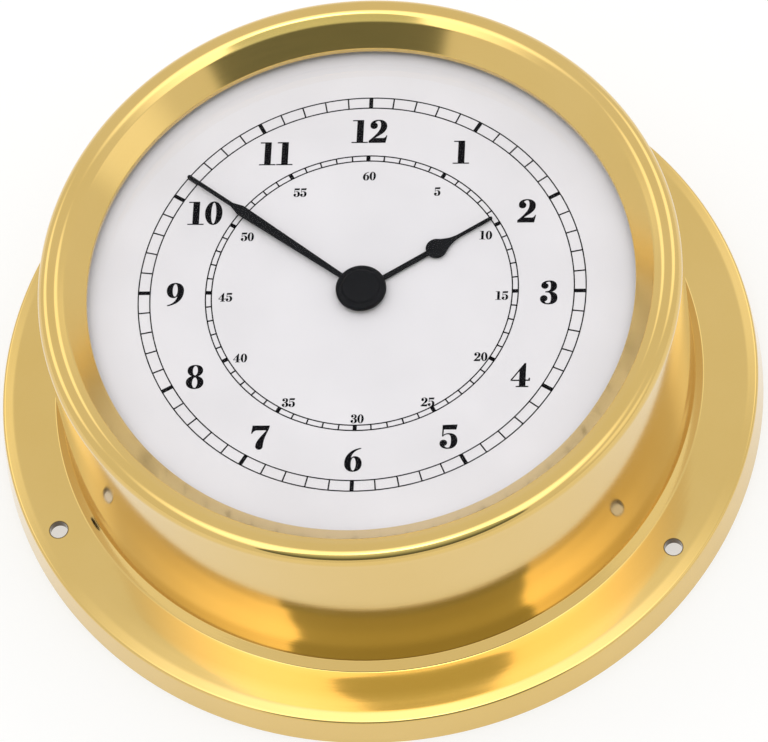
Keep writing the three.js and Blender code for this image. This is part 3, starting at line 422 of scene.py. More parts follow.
# Natural acetal: waxy cream white
ACETAL = grained("natural_acetal", "E8E3D3", 0.45, 0.3 * MM, 0.01 * MM)

# Nitrile rubber: dull black
NITRILE = grained("black_nitrile_rubber", "1A1A1A", 0.8, 0.4 * MM, 0.03 * MM)

# Glass epoxy board: green, with its cloth showing through as a faint grain
BOARD = grained("green_glass_epoxy", "2F6A3A", 0.5, 0.5 * MM, 0.01 * MM)

# Sintered ferrite: dark grey and matt as fine stone
FERRITE = grained("sintered_ferrite", "4A4A4C", 0.7, 0.3 * MM, 0.02 * MM)

# Plastic sleeve shrunk on a cell: dark blue, smooth and glossy
SLEEVE = grained("blue_cell_sleeve", "2B4F8F", 0.32, 0.6 * MM, 0.004 * MM)

# Steel with a nickel plate: a soft grey mirror
NICKEL = grained("nickel_plated_steel", "C3C4C4", 0.28, 0.2 * MM, 0.004 * MM, Metallic=1)

# Brass as it leaves the lathe: a soft yellow mirror
TURNED_BRASS = grained("turned_brass", "CFAE66", 0.3, 0.2 * MM, 0.004 * MM, Metallic=1)

# Enamelled copper wire: red-brown and glossy
COPPER = grained("enamelled_copper", "B5652D", 0.35, 0.2 * MM, 0.01 * MM, Metallic=1)


# Shapes


def placed(name, data):
    """A new object in the scene."""
    made = bpy.data.objects.new(name, data)
    bpy.context.scene.collection.objects.link(made)
    return made


def piece(name, mesh, body, slot, *nodes):
    """A finished piece that rides on a body, and stands for the nodes that it is given."""
    made = placed(name, mesh)
    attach(made, body)
    if nodes:
        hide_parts(*nodes)


def plain_mesh(holder, material):
    """The mesh that an object comes to, in one material. The object is then removed."""
    evaluated = holder.evaluated_get(bpy.context.evaluated_depsgraph_get())
    mesh = bpy.data.meshes.new_from_object(evaluated)
    bpy.data.objects.remove(holder)
    mesh.materials.clear()
    mesh.materials.append(material)
    return mesh


def grown(tree, start, **sizes):
    """The mesh that a node tree makes from a starting mesh, with the tree's inputs set by name."""
    holder = placed("holder", start)
    modifier = holder.modifiers.new("tree", "NODES")
    modifier.node_group = tree
    for item in tree.interface.items_tree:
        if item.in_out == "INPUT" and item.name in sizes:
            modifier[item.identifier] = sizes[item.name]
    return outward(plain_mesh(holder, sizes["Material"]))


def outward(mesh):
    """Merges doubles, turns the faces of a closed mesh outwards and marks its sharp edges."""
    work = bmesh.new()
    work.from_mesh(mesh)
    bmesh.ops.remove_doubles(work, verts=work.verts, dist=SAME_POINT)
    loose = [edge for edge in work.edges if not edge.link_faces]
    bmesh.ops.delete(work, geom=loose, context="EDGES")
    bmesh.ops.recalc_face_normals(work, faces=work.faces)
    for face in work.faces:
        face.material_index = 0
    work.to_mesh(mesh)
    work.free()
    mesh.shade_smooth()
    mesh.set_sharp_from_angle(angle=SHARP_ANGLE)
    return mesh


def joined(meshes):
    """Several meshes of one material as one mesh."""
    work = bmesh.new()
    for mesh in meshes:
        work.from_mesh(mesh)
    made = bpy.data.meshes.new("joined")
    work.to_mesh(made)
    work.free()
    made.materials.append(meshes[0].materials[0])
    made.set_sharp_from_angle(angle=SHARP_ANGLE)
    return made


def new_tree(name, **inputs):
    """A geometry tree with named inputs, and their sockets."""
    tree = bpy.data.node_groups.new(name, "GeometryNodeTree")
    tree.interface.new_socket("Geometry", in_out="OUTPUT", socket_type="NodeSocketGeometry")
    tree.interface.new_socket("Geometry", in_out="INPUT", socket_type="NodeSocketGeometry")
    for label, kind in inputs.items():
        tree.interface.new_socket(label, in_out="INPUT", socket_type=f"NodeSocket{kind}")
    return tree, node(tree, "NodeGroupInput").outputs


def end_tree(tree, geometry, material):
    """Ends a geometry tree in real, smooth geometry with its material."""
    real = node(tree, "GeometryNodeRealizeInstances", {"Geometry": geometry})
    smooth = node(tree, "GeometryNodeSetShadeSmooth", {"Geometry": real.outputs[0]})
    dressed = node(tree, "GeometryNodeSetMaterial", {"Geometry": smooth.outputs[0], "Material": material})
    node(tree, "NodeGroupOutput", {"Geometry": dressed.outputs[0]})
    return tree


def spinning_tree():
    """Turns a profile of points, drawn in X and Z, round the axis.

    A grid one unit square stands for the surface: across it is the turn, and along it are the points.
    """
    tree, given = new_tree("spun_from_profile", Facets="Int", Material="Material")
    count = node(tree, "GeometryNodeAttributeDomainSize", {"Geometry": given["Geometry"]})
    points = count.outputs["Point Count"]
    columns = node(tree, "ShaderNodeMath", {0: given["Facets"], 1: 1}, operation="ADD")
    rows = node(tree, "ShaderNodeMath", {0: points, 1: 1}, operation="ADD")
    grid = node(tree, "GeometryNodeMeshGrid", {
        "Size X": 1, "Size Y": 1, "Vertices X": columns.outputs[0], "Vertices Y": rows.outputs[0]})
    place = node(tree, "ShaderNodeSeparateXYZ", {0: node(tree, "GeometryNodeInputPosition").outputs[0]})
    across = node(tree, "ShaderNodeMath", {0: place.outputs[0], 1: 0.5}, operation="ADD")
    turn = node(tree, "ShaderNodeMath", {0: across.outputs[0], 1: math.tau}, operation="MULTIPLY")
    along = node(tree, "ShaderNodeMath", {0: place.outputs[1], 1: 0.5}, operation="ADD")
    row = node(tree, "ShaderNodeMath", {0: along.outputs[0], 1: points}, operation="MULTIPLY")
    whole = node(tree, "ShaderNodeMath", {0: row.outputs[0]}, operation="ROUND")
    wrapped = node(tree, "ShaderNodeMath", {0: whole.outputs[0], 1: points}, operation="MODULO")
    sampled = node(tree, "GeometryNodeSampleIndex", {
        0: given["Geometry"], 1: node(tree, "GeometryNodeInputPosition").outputs[0], 2: wrapped.outputs[0]},
        data_type="FLOAT_VECTOR")
    profile = node(tree, "ShaderNodeSeparateXYZ", {0: sampled.outputs[0]})
    cosine = node(tree, "ShaderNodeMath", {0: turn.outputs[0]}, operation="COSINE")
    sine = node(tree, "ShaderNodeMath", {0: turn.outputs[0]}, operation="SINE")
    east = node(tree, "ShaderNodeMath", {0: profile.outputs[0], 1: cosine.outputs[0]}, operation="MULTIPLY")
    north = node(tree, "ShaderNodeMath", {0: profile.outputs[0], 1: sine.outputs[0]}, operation="MULTIPLY")
    spot = node(tree, "ShaderNodeCombineXYZ", {
        0: east.outputs[0], 1: north.outputs[0], 2: profile.outputs[2]})
    moved = node(tree, "GeometryNodeSetPosition", {"Geometry": grid.outputs[0], "Position": spot.outputs[0]})
    closed = node(tree, "GeometryNodeMergeByDistance", {
        "Geometry": moved.outputs[0], "Distance": SAME_POINT})
    return end_tree(tree, closed.outputs[0], given["Material"])


def drilling_tree():
    """Drills a ring of plain holes along Z, with drills that are centred on the wall's face."""
    tree, given = new_tree("drilled_holes", Count="Int", Circle="Float", Radius="Float", Depth="Float",
                           Turn="Float", Material="Material")
    ring = node(tree, "GeometryNodeMeshCircle", {"Vertices": given["Count"], "Radius": given["Circle"]})
    angles = node(tree, "ShaderNodeCombineXYZ", {2: given["Turn"]})
    turned = node(tree, "GeometryNodeTransform", {"Geometry": ring.outputs[0], "Rotation": angles.outputs[0]})
    drill = node(tree, "GeometryNodeMeshCylinder", {
        "Vertices": DRILL_FACETS, "Radius": given["Radius"], "Depth": given["Depth"]})
    drills = node(tree, "GeometryNodeInstanceOnPoints", {
        "Points": turned.outputs[0], "Instance": drill.outputs[0]})
    real = node(tree, "GeometryNodeRealizeInstances", {"Geometry": drills.outputs[0]})
    cut = node(tree, "GeometryNodeMeshBoolean", {
        "Mesh 1": given["Geometry"], "Mesh 2": real.outputs[0]}, operation="DIFFERENCE", solver="MANIFOLD")
    return end_tree(tree, cut.outputs[0], given["Material"])


def marking_tree():
    """A ring of radial marks, every few of them wider."""
    tree, given = new_tree("track_marks", Divisions="Int", Group="Int", Circle="Float", Length="Float",
                           Width="Float", Wide="Float", Height="Float", Material="Material")
    ring = node(tree, "GeometryNodeMeshCircle", {"Vertices": given["Divisions"], "Radius": given["Circle"]})
    size = node(tree, "ShaderNodeCombineXYZ", {0: given["Length"], 1: given["Width"], 2: given["Height"]})
    mark = node(tree, "GeometryNodeMeshCube", {"Size": size.outputs[0]})
    place = node(tree, "ShaderNodeSeparateXYZ", {0: node(tree, "GeometryNodeInputPosition").outputs[0]})
    turn = node(tree, "ShaderNodeMath", {0: place.outputs[1], 1: place.outputs[0]}, operation="ARCTAN2")
    angles = node(tree, "ShaderNodeCombineXYZ", {2: turn.outputs[0]})
    left = node(tree, "ShaderNodeMath", {
        0: node(tree, "GeometryNodeInputIndex").outputs[0], 1: given["Group"]}, operation="MODULO")
    first = node(tree, "ShaderNodeMath", {0: left.outputs[0], 1: 0.5}, operation="LESS_THAN")
    wider = node(tree, "ShaderNodeMath", {0: given["Wide"], 1: given["Width"]}, operation="DIVIDE")
    stretch = node(tree, "ShaderNodeMix", {"Factor": first.outputs[0], 2: 1, 3: wider.outputs[0]})
    scale = node(tree, "ShaderNodeCombineXYZ", {0: 1, 1: stretch.outputs[0], 2: 1})
    marks = node(tree, "GeometryNodeInstanceOnPoints", {
        "Points": ring.outputs[0], "Instance": mark.outputs[0], "Rotation": angles.outputs[0],
        "Scale": scale.outputs[0]})
    return end_tree(tree, marks.outputs[0], given["Material"])


def sweeping_tree():
    """A flat rounded strip swept along an arc."""
    tree, given = new_tree("swept_strip", Radius="Float", Start="Float", Sweep="Float", Width="Float",
                           Thickness="Float", Rounding="Float", Facets="Int", Material="Material")
    arc = node(tree, "GeometryNodeCurveArc", {
        "Resolution": given["Facets"], "Radius": given["Radius"], "Start Angle": given["Start"],
        "Sweep Angle": given["Sweep"]})
    section = node(tree, "GeometryNodeCurvePrimitiveQuadrilateral", {
        "Width": given["Width"], "Height": given["Thickness"]})
    soft = node(tree, "GeometryNodeFilletCurve", {
        "Curve": section.outputs[0], "Radius": given["Rounding"], "Count": SNAP_RING_CORNER_STEPS},
        mode="POLY")
    strip = node(tree, "GeometryNodeCurveToMesh", {
        "Curve": arc.outputs[0], "Profile Curve": soft.outputs[0], "Fill Caps": True})
    return end_tree(tree, strip.outputs[0], given["Material"])


SPINNING = spinning_tree()
DRILLING = drilling_tree()
MARKING = marking_tree()
SWEEPING = sweeping_tree()


def filleted(corners):
    """Points of a closed outline from corners, each with its rounding."""
    points = []
    for index, (x, y, size) in enumerate(corners):
        here = Vector((x, y))
        back = (Vector(corners[index - 1][:2]) - here).normalized()
        ahead = (Vector(corners[(index + 1) % len(corners)][:2]) - here).normalized()
        if size == 0:
            points.append(here)
            continue
        half = back.angle(ahead) / 2
        centre = here + (back + ahead).normalized() * size / math.sin(half)
        start = here + back * size / math.tan(half) - centre
        end = here + ahead * size / math.tan(half) - centre
        sweep = math.atan2(start.x * end.y - start.y * end.x, start.dot(end))
        steps = max(ARC_LEAST_STEPS, math.ceil(abs(sweep) / ARC_STEP))
        points += [centre + Matrix.Rotation(sweep * i / steps, 2) @ start for i in range(steps + 1)]
    return points


def supported(points):
    """Adds a point close to each end of a long straight, which keeps its shading flat."""
    made = []
    for here, ahead in zip(points, points[1:] + points[:1]):
        made.append(here)
        run = ahead - here
        if run.length > SUPPORT_LEAST_RUN:
            reach = run.normalized() * SUPPORT_REACH
            made += [here + reach, ahead - reach]
    return made


def spun(points, facets, material):
    """A turned mesh from its profile of [radius, height] points."""
    profile = bpy.data.meshes.new("profile")
    profile.from_pydata([(x, 0, z) for x, z in points], [], [])
    return grown(SPINNING, profile, Facets=facets, Material=material)


def flat_solid(contours, low, high, rounding, material):
    """A flat mesh between two heights from closed outlines, where one inside another is a hole."""
    curve = bpy.data.curves.new("outline", "CURVE")
    curve.dimensions = "2D"
    curve.fill_mode = "BOTH"
    curve.extrude = (high - low) / 2 - rounding
    curve.bevel_depth = rounding
    curve.bevel_resolution = EDGE_STEPS
    curve.offset = -rounding
    for contour in contours:
        spline = curve.splines.new("POLY")
        spline.points.add(len(contour) - 1)
        spline.use_cyclic_u = True
        for point, (x, y) in zip(spline.points, contour):
            point.co = (x, y, 0, 1)
    mesh = plain_mesh(placed("outline", curve), material)
    mesh.transform(Matrix.Translation((0, 0, (low + high) / 2)))
    return outward(mesh)


# Case and crystal


def make_case():
    """The spun case, its outline running up the outside, over the rim to the lip, and back along the inside.

    The inner rim's slope is broken in two outside, and straight behind, a sheet's thickness away.
    """
    tilt = SLOPE_DROP / SLOPE_RUN
    land_inner = DRUM_RADIUS - RIM_WIDTH
    lip_top = CASE_HEIGHT - SLOPE_DROP
    lip_bottom = lip_top - LIP_HEIGHT
    behind = DIAL_OPENING + SHEET
    slope_back = lip_top + SHEET * tilt - SHEET * math.hypot(1, tilt)
    land_back = behind + (CASE_HEIGHT - SHEET - slope_back) / tilt
    edge = FLANGE_RADIUS - FLANGE_DRAFT
    shoulder = edge - FLANGE_SHOULDER_RUN
    outline = filleted([
        (FLANGE_RADIUS, 0, 0),
        (edge, FLANGE_HEIGHT - FLANGE_SHOULDER_DROP, FLANGE_EDGE_ROUNDING),
        (shoulder, FLANGE_HEIGHT, FLANGE_SHOULDER_ROUNDING),
        (shoulder - FLANGE_CROWN_RUN, FLANGE_HEIGHT + FLANGE_CROWN_RISE, FLANGE_CROWN_ROUNDING),
        (DRUM_RADIUS + COVE_RUN, FLANGE_HEIGHT + FLANGE_RISE, COVE_FOOT_ROUNDING),
        (DRUM_RADIUS + FLARE_RUN, FLANGE_HEIGHT + FLANGE_RISE + COVE_HEIGHT, COVE_ROUNDING),
        (DRUM_RADIUS, FLARE_TOP, FLARE_ROUNDING),
        (DRUM_RADIUS, CASE_HEIGHT, RIM_ROUNDING),
        (land_inner, CASE_HEIGHT, SLOPE_TOP_ROUNDING),
        (land_inner - SLOPE_BREAK_RUN, CASE_HEIGHT - SLOPE_BREAK_DROP, SLOPE_BREAK_ROUNDING),
        (DIAL_OPENING, lip_top, LIP_ROUNDING),
        (DIAL_OPENING, lip_bottom, 0),
        (behind, lip_bottom, 0),
        (behind, slope_back, 0),
        (land_back, CASE_HEIGHT - SHEET, SHEET),
        (DRUM_RADIUS - SHEET, CASE_HEIGHT - SHEET, RIM_BACK_ROUNDING),
        (DRUM_RADIUS - SHEET, FLANGE_HEIGHT - SHEET, COVE_BACK_ROUNDING),
        (edge - SHEET, FLANGE_HEIGHT - SHEET - FLANGE_SHOULDER_DROP, SHEET),
        (FLANGE_RADIUS - SHEET, 0, 0),
    ])
    shell = spun(supported(outline), CASE_FACETS, BRASS)
    drilled = grown(
        DRILLING, shell, Count=HOLE_COUNT, Circle=HOLE_CIRCLE, Radius=HOLE_RADIUS,
        Depth=DRILL_REACH * FLANGE_HEIGHT, Turn=math.radians(90 - HOLE_TURN_DEGREES), Material=BRASS)
    piece("brass_case", drilled, "case", "case_brass", "case_shell")


def crown(radius, base, rise):
    """Dome line from the axis outwards: nearly flat, turning down near its edge."""
    points = []
    for i in range(CRYSTAL_CROWN_STEPS + 1):
        share = math.sin(i / CRYSTAL_CROWN_STEPS * math.pi / 2)
        points.append(Vector((radius * share, base + rise * (1 - share ** CRYSTAL_CROWN_POWER))))
    return points


def make_crystal():
    """A domed crystal with a flat brim that the lip holds down."""
    dome = DIAL_OPENING - CRYSTAL_LIP_CLEARANCE
    seat = DIAL_TOP + CRYSTAL_THICKNESS
    rise = CRYSTAL_TOP - seat
    bottom = DIAL_TOP + CRYSTAL_SEAT_GAP
    brim = [Vector((CRYSTAL_RADIUS, seat)), Vector((CRYSTAL_RADIUS, bottom))]
    under = crown(dome - CRYSTAL_THICKNESS, bottom, rise)
    mesh = spun(crown(dome, seat, rise) + brim + under[::-1], CRYSTAL_FACETS, CLEAR)
    piece("crystal_dome", mesh, "case", "crystal", "crystal")


# Dial print


def curved(path):
    """Points of a closed outline written as moves M, lines L and cubic curves C."""
    points, numbers, letter = [], [], ""
    for word in path.split():
        if word in "MLC":
            letter = word
            continue
        numbers.append(float(word))
        if letter in "ML" and len(numbers) == 2:
            points.append(Vector(numbers))
            numbers = []
        if letter == "C" and len(numbers) == 6:
            a, b, c, d = points[-1], *[Vector(numbers[i:i + 2]) for i in (0, 2, 4)]
            for i in range(1, CURVE_STEPS + 1):
                t = i / CURVE_STEPS
                s = 1 - t
                points.append(a * s ** 3 + b * 3 * s * s * t + c * 3 * s * t * t + d * t ** 3)
            numbers = []
    return points


def oval(x, y, across, up):
    """Points of an upright oval."""
    steps = 4 * CURVE_STEPS
    turns = [math.tau * i / steps for i in range(steps)]
    return [Vector((x + across * math.cos(t), y + up * math.sin(t))) for t in turns]


SIX = [
    curved("M 60 99 C 27 94 0 72 0 35 C 0 13 13 -1 33 -1 C 53 -1 65 13 65 32 C 65 51 54 64 39 64 "
           "C 32 64 27 61 24 56 C 26 74 40 90 61 95"),
    oval(33.5, 31, 9.5, 27),
]

# Bold upright figures, each with its width and its outlines
FIGURES = {
    "0": (66, [oval(33, 50, 33, 51), oval(33, 50, 9.5, 46)]),
    "1": (62, [curved(
        "M 0 0 L 62 0 L 62 4.5 L 44 4.5 L 44 100 L 2 100 L 2 95.5 L 19 95.5 L 19 4.5 L 0 4.5")]),
    "2": (70, [curved(
        "M 0 0 L 64 0 L 70 32 L 66 32 C 64 24 60 21 52 21 L 24 21 C 40 34 68 46 68 72 C 68 90 54 101 36 101 "
        "C 16 101 4 91 4 76 C 4 67 10 61 18 61 C 26 61 32 67 32 75 C 32 81 28 86 22 88 C 26 94 31 96 35 96 "
        "C 42 96 44 88 44 75 C 44 55 30 38 0 9")]),
    "3": (66, [curved(
        "M 4 79 C 4 92 17 101 35 101 C 53 101 63 91 63 76 C 63 64 55 56 44 53 C 58 50 66 41 66 27 "
        "C 66 9 53 -1 33 -1 C 14 -1 1 9 1 23 C 1 32 7 38 15 38 C 23 38 29 32 29 25 C 29 18 25 13 18 12 "
        "C 21 7 26 4 31 4 C 39 4 42 12 42 27 C 42 42 37 50 24 50 L 20 50 L 20 55 L 24 55 C 35 55 40 62 40 76 "
        "C 40 89 38 96 33 96 C 28 96 24 94 21 90 C 27 88 31 84 31 78 C 31 71 25 66 18 66 "
        "C 10 66 4 71 4 79")]),
    "4": (72, [
        curved("M 50 101 L 56 101 L 56 31 L 65 31 L 68 39 L 72 39 L 72 26 L 56 26 L 56 5 L 67 5 L 67 0 "
               "L 20 0 L 20 5 L 32 5 L 32 26 L 0 26 L 0 31"),
        curved("M 6 31 L 32 31 L 32 67"),
    ]),
    "5": (66, [curved(
        "M 9 99 L 64 101 L 60 80 L 14 80 L 13 58 C 19 63 27 65 35 65 C 54 65 66 52 66 33 C 66 12 52 -1 31 -1 "
        "C 12 -1 0 9 0 22 C 0 31 6 37 14 37 C 22 37 28 31 28 24 C 28 18 24 13 18 12 C 21 7 25 4 30 4 "
        "C 39 4 42 14 42 33 C 42 51 38 60 29 60 C 22 60 16 57 12 51 L 8 51")]),
    "6": (65, SIX),
    "7": (68, [curved(
        "M 4 100 L 68 100 L 68 96 C 62 70 47 52 46 14 C 46 4 40 -1 32 -1 C 24 -1 18 5 18 13 "
        "C 18 38 42 58 56 80 L 22 80 C 13 80 7 75 4 66 L 0 66")]),
    "8": (66, [
        curved("M 33 101 C 52 101 62 91 62 77 C 62 66 56 58 45 53 C 59 48 66 39 66 27 C 66 9 52 -1 33 -1 "
               "C 14 -1 0 9 0 27 C 0 39 7 48 21 53 C 10 58 4 66 4 77 C 4 91 14 101 33 101"),
        oval(33, 76.5, 9.5, 20),
        oval(33, 26, 10, 22),
    ]),
    "9": (65, [[Vector((65, FIGURE_HEIGHT)) - point for point in contour] for contour in SIX]),
}


def numeral(text, centre, height):
    """Outlines of a number round its centre."""
    widths = [FIGURES[figure][0] for figure in text]
    left = -(sum(widths) + FIGURE_SPACING * (len(text) - 1)) / 2
    scale = height / FIGURE_HEIGHT
    contours = []
    for figure, width in zip(text, widths):
        start = Vector((left, -FIGURE_HEIGHT / 2))
        for contour in FIGURES[figure][1]:
            contours.append([centre + (point + start) * scale for point in contour])
        left += width + FIGURE_SPACING
    return contours


def dial_point(turn, radius):
    """A point on the dial by its share of a turn clockwise from twelve."""
    return Vector((radius * math.sin(turn * math.tau), radius * math.cos(turn * math.tau)))


def make_track(name, inner, outer):
    """Two printed rings with a mark at each division between them, wider at the hours."""
    low, high = DIAL_TOP - INK_SUNK, DIAL_TOP + INK_HEIGHT
    half = TRACK_LINE_WIDTH / 2
    lines = [
        spun([(r - half, low), (r + half, low), (r + half, high), (r - half, high)], TRACK_FACETS, INK)
        for r in (inner + half, outer - half)]
    marks = grown(
        MARKING, bpy.data.meshes.new("marks"), Divisions=TRACK_DIVISIONS, Group=MARKS_PER_HOUR,
        Circle=(inner + outer) / 2, Length=outer - inner - 2 * half, Width=MARK_WIDTH, Wide=HOUR_MARK_WIDTH,
        Height=high - low, Material=INK)
    marks.transform(Matrix.Translation((0, 0, (low + high) / 2)))
    piece(name, joined([*lines, marks]), "case", "hand_black")


def make_numerals(name, step, radius, height, shift):
    """The hours' numbers, counted in the given step, on a circle that is printed off centre."""
    contours = []
    for hour in range(1, HOURS + 1):
        centre = dial_point(hour / HOURS, radius) + Vector(shift)
        contours += numeral(str(hour * step), centre, height)
    mesh = flat_solid(contours, DIAL_TOP - INK_SUNK, DIAL_TOP + INK_HEIGHT, 0, INK)
    piece(name, mesh, "case", "hand_black")


def make_dial_print():
    make_track("minute_track", MINUTE_TRACK_INNER, MINUTE_TRACK_OUTER)
    make_track("second_track", SECOND_TRACK_INNER, SECOND_TRACK_OUTER)
    make_numerals("hour_numerals", 1, HOUR_NUMERAL_CIRCLE, HOUR_NUMERAL_HEIGHT, HOUR_NUMERAL_SHIFT)
    make_numerals(
        "second_numerals", MARKS_PER_HOUR, SECOND_NUMERAL_CIRCLE, SECOND_NUMERAL_HEIGHT, SECOND_NUMERAL_SHIFT)


# Hands


def arc_points(x, y, radius, start, end):
    """Points of an arc between two angles in degrees."""
    steps = max(ARC_LEAST_STEPS, math.ceil(abs(math.radians(end - start)) / ARC_STEP))
    turns = [math.radians(start + (end - start) * i / steps) for i in range(steps + 1)]
    return [Vector((x + radius * math.cos(t), y + radius * math.sin(t))) for t in turns]


def whole_hand(half_outline, angle):
    """A hand's outline from its upper half along +X, mirrored and turned to its place."""
    lower = [Vector((x, -y)) for x, y in reversed(half_outline)]
    turn = Matrix.Rotation(math.radians(90 - angle), 2)
    return [turn @ point for point in half_outline + lower]


def make_hour_hand():
    """A boss, a stem, a round bulb with hollow flanks and a blunt tip."""
    low, high = (corner.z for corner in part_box("hour_hand"))
    stem, tip = HOUR_STEM_WIDTH / 2, HOUR_TIP_WIDTH / 2
    root = math.degrees(math.asin(stem / HOUR_BOSS_RADIUS))
    bulb_root = math.degrees(math.asin(stem / HOUR_BULB_RADIUS))
    bulb = arc_points(HOUR_BULB_CENTRE, 0, HOUR_BULB_RADIUS, 180 - bulb_root, HOUR_BULB_FLANK)
    flank = bulb[-1]
    waist = Vector((HOUR_BULB_END, tip))
    pull = Vector(((flank.x + waist.x) / 2, tip))
    steps = 2 * CURVE_STEPS
    shares = [i / steps for i in range(1, steps + 1)]
    concave = [flank * (1 - t) ** 2 + pull * 2 * t * (1 - t) + waist * t * t for t in shares]
    half = [
        *arc_points(0, 0, HOUR_BOSS_RADIUS, 180, root),
        *bulb,
        *concave,
        *arc_points(HOUR_LENGTH - tip, 0, tip, 90, 0),
    ]
    mesh = flat_solid([whole_hand(half, HOUR_ANGLE)], low, high, HAND_ROUNDING, HAND_PAINT)
    piece("hour_hand_blade", mesh, "hour_set", "hand_black", "hour_hand")


def make_minute_hand():
    """A blade that widens to its shoulder and ends in a needle."""
    low, high = (corner.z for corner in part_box("minute_hand"))
    root = math.degrees(math.asin(MINUTE_ROOT_WIDTH / 2 / HUB_RADIUS))
    needle = MINUTE_LENGTH - MINUTE_NEEDLE
    tip = MINUTE_NEEDLE_WIDTH / 2
    half = [
        *arc_points(0, 0, HUB_RADIUS, 180, root),
        Vector((needle - MINUTE_SHOULDER, MINUTE_WIDEST_WIDTH / 2)),
        Vector((needle, tip)),
        *arc_points(MINUTE_LENGTH - tip, 0, tip, 90, 0),
    ]
    mesh = flat_solid([whole_hand(half, MINUTE_ANGLE)], low, high, HAND_ROUNDING, HAND_PAINT)
    piece("minute_hand_blade", mesh, "minute_set", "hand_black", "minute_hand")


def make_hub():
    """A cap with a lower step and a raised button."""
    low, high = (corner.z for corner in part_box("hub_cap"))
    step = low + (high - low) * HUB_STEP_SHARE
    outline = filleted([
        (0, low, 0),
        (HUB_RADIUS, low, 0),
        (HUB_RADIUS, step, HUB_STEP_ROUNDING),
        (HUB_INNER_RADIUS + HUB_INNER_FLARE, step, HUB_FOOT_ROUNDING),
        (HUB_INNER_RADIUS, high, HUB_TOP_ROUNDING),
        (0, high, 0),
    ])
    piece("hub_dome", spun(outline, HUB_FACETS, HAND_PAINT), "minute_set", "hand_black", "hub_cap")


# Back of the clock


def make_knob():
    """A dished knob, fluted round its edge and bored for its arbor."""
    low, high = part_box("setting_knob")
    outline = filleted([
        (0, low.z + KNOB_DISH_DEPTH, 0),
        (KNOB_DISH_RADIUS - KNOB_DISH_DEPTH, low.z + KNOB_DISH_DEPTH, KNOB_DISH_ROUNDING),
        (KNOB_DISH_RADIUS, low.z, KNOB_BROW_ROUNDING),
        (KNOB_RADIUS, low.z, KNOB_BACK_ROUNDING),
        (KNOB_RADIUS, high.z, KNOB_FRONT_ROUNDING),
        (KNOB_BORE, high.z, 0),
        (KNOB_BORE, low.z + KNOB_FLOOR, 0),
        (0, low.z + KNOB_FLOOR, 0),
    ])
    fluted = grown(
        DRILLING, spun(outline, KNOB_FACETS, RED_ABS), Count=KNOB_FLUTES,
        Circle=KNOB_RADIUS - KNOB_FLUTE_DEPTH + KNOB_FLUTE_RADIUS, Radius=KNOB_FLUTE_RADIUS,
        Depth=DRILL_REACH * high.z, Turn=0, Material=RED_ABS)
    fluted.transform(Matrix.Translation(((low.x + high.x) / 2, (low.y + high.y) / 2, 0)))
    piece("fluted_knob", fluted, "setting_set", "knob_plastic", "setting_knob")


def laid(mesh, low, high):
    """Lays a turned mesh along X on the axis of a box."""
    place = Matrix.Translation((0, (low.y + high.y) / 2, (low.z + high.z) / 2))
    mesh.transform(place @ Matrix.Rotation(math.pi / 2, 4, "Y"))
    return mesh


def make_cell():
    """A cell in two pieces: its sleeved can with a crimped base, and its cap with the nub."""
    low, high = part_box("battery_can")
    radius = (high.z - low.z) / 2
    can = filleted([
        (0, low.x + CELL_BASE_DEPTH, 0),
        (CELL_BASE_RADIUS, low.x + CELL_BASE_DEPTH, CELL_BASE_ROUNDING),
        (CELL_BASE_RADIUS + CELL_BASE_DEPTH, low.x, CELL_BASE_ROUNDING),
        (radius, low.x, CELL_CRIMP_ROUNDING),
        (radius, high.x, CELL_SLEEVE_ROUNDING),
        (0, high.x, 0),
    ])
    sleeve = laid(spun(can, CELL_FACETS, SLEEVE), low, high)
    piece("cell_sleeve_tube", sleeve, "cell", "cell_sleeve", "battery_can")
    low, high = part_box("battery_cap")
    shoulder = high.x - CELL_NUB_LENGTH
    cap = filleted([
        (0, low.x, 0),
        (radius, low.x, 0),
        (radius, shoulder, CELL_CAP_ROUNDING),
        (CELL_NUB_RADIUS, shoulder, CELL_NUB_FOOT_ROUNDING),
        (CELL_NUB_RADIUS, high.x, CELL_NUB_ROUNDING),
        (0, high.x, 0),
    ])
    nub = laid(spun(cap, CELL_FACETS, NICKEL), low, high)
    piece("cell_cap_and_nub", nub, "cell", "steel", "battery_cap")


def make_snap_ring():
    """A flat split ring, open towards six o'clock."""
    low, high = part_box("snap_ring")
    ring = grown(
        SWEEPING, bpy.data.meshes.new("ring"), Radius=high.x - SNAP_RING_WIDTH / 2,
        Start=math.radians(270 + SNAP_RING_SPLIT_DEGREES / 2),
        Sweep=math.radians(360 - SNAP_RING_SPLIT_DEGREES), Width=SNAP_RING_WIDTH,
        Thickness=high.z - low.z, Rounding=SNAP_RING_ROUNDING,
        Facets=SNAP_RING_FACETS, Material=NICKEL)
    ring.transform(Matrix.Translation((0, 0, (low.z + high.z) / 2)))
    piece("snap_ring_wire", ring, "case", "steel", "snap_ring")


def softened(name, suffix, body, slot, width, material):
    """A copy of a node in its own shape, with its hard edges rounded."""
    work = bmesh.new()
    work.from_mesh(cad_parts[name].data)
    bmesh.ops.remove_doubles(work, verts=work.verts, dist=SAME_CORNER)
    bmesh.ops.dissolve_limit(work, angle_limit=FLAT_ANGLE, verts=work.verts, edges=work.edges)
    hard = [edge for edge in work.edges if edge.is_manifold and edge.calc_face_angle() > HARD_EDGE]
    bmesh.ops.bevel(
        work, geom=hard, offset=width, segments=EDGE_STEPS, profile=0.5, affect="EDGES", clamp_overlap=True)
    mesh = bpy.data.meshes.new(name)
    work.to_mesh(mesh)
    work.free()
    mesh.materials.append(material)
    mesh = outward(mesh)
    for face in mesh.polygons:
        face.use_smooth = face.area < SMOOTH_AREA
    piece(f"{name}_{suffix}", mesh, body, slot, name)


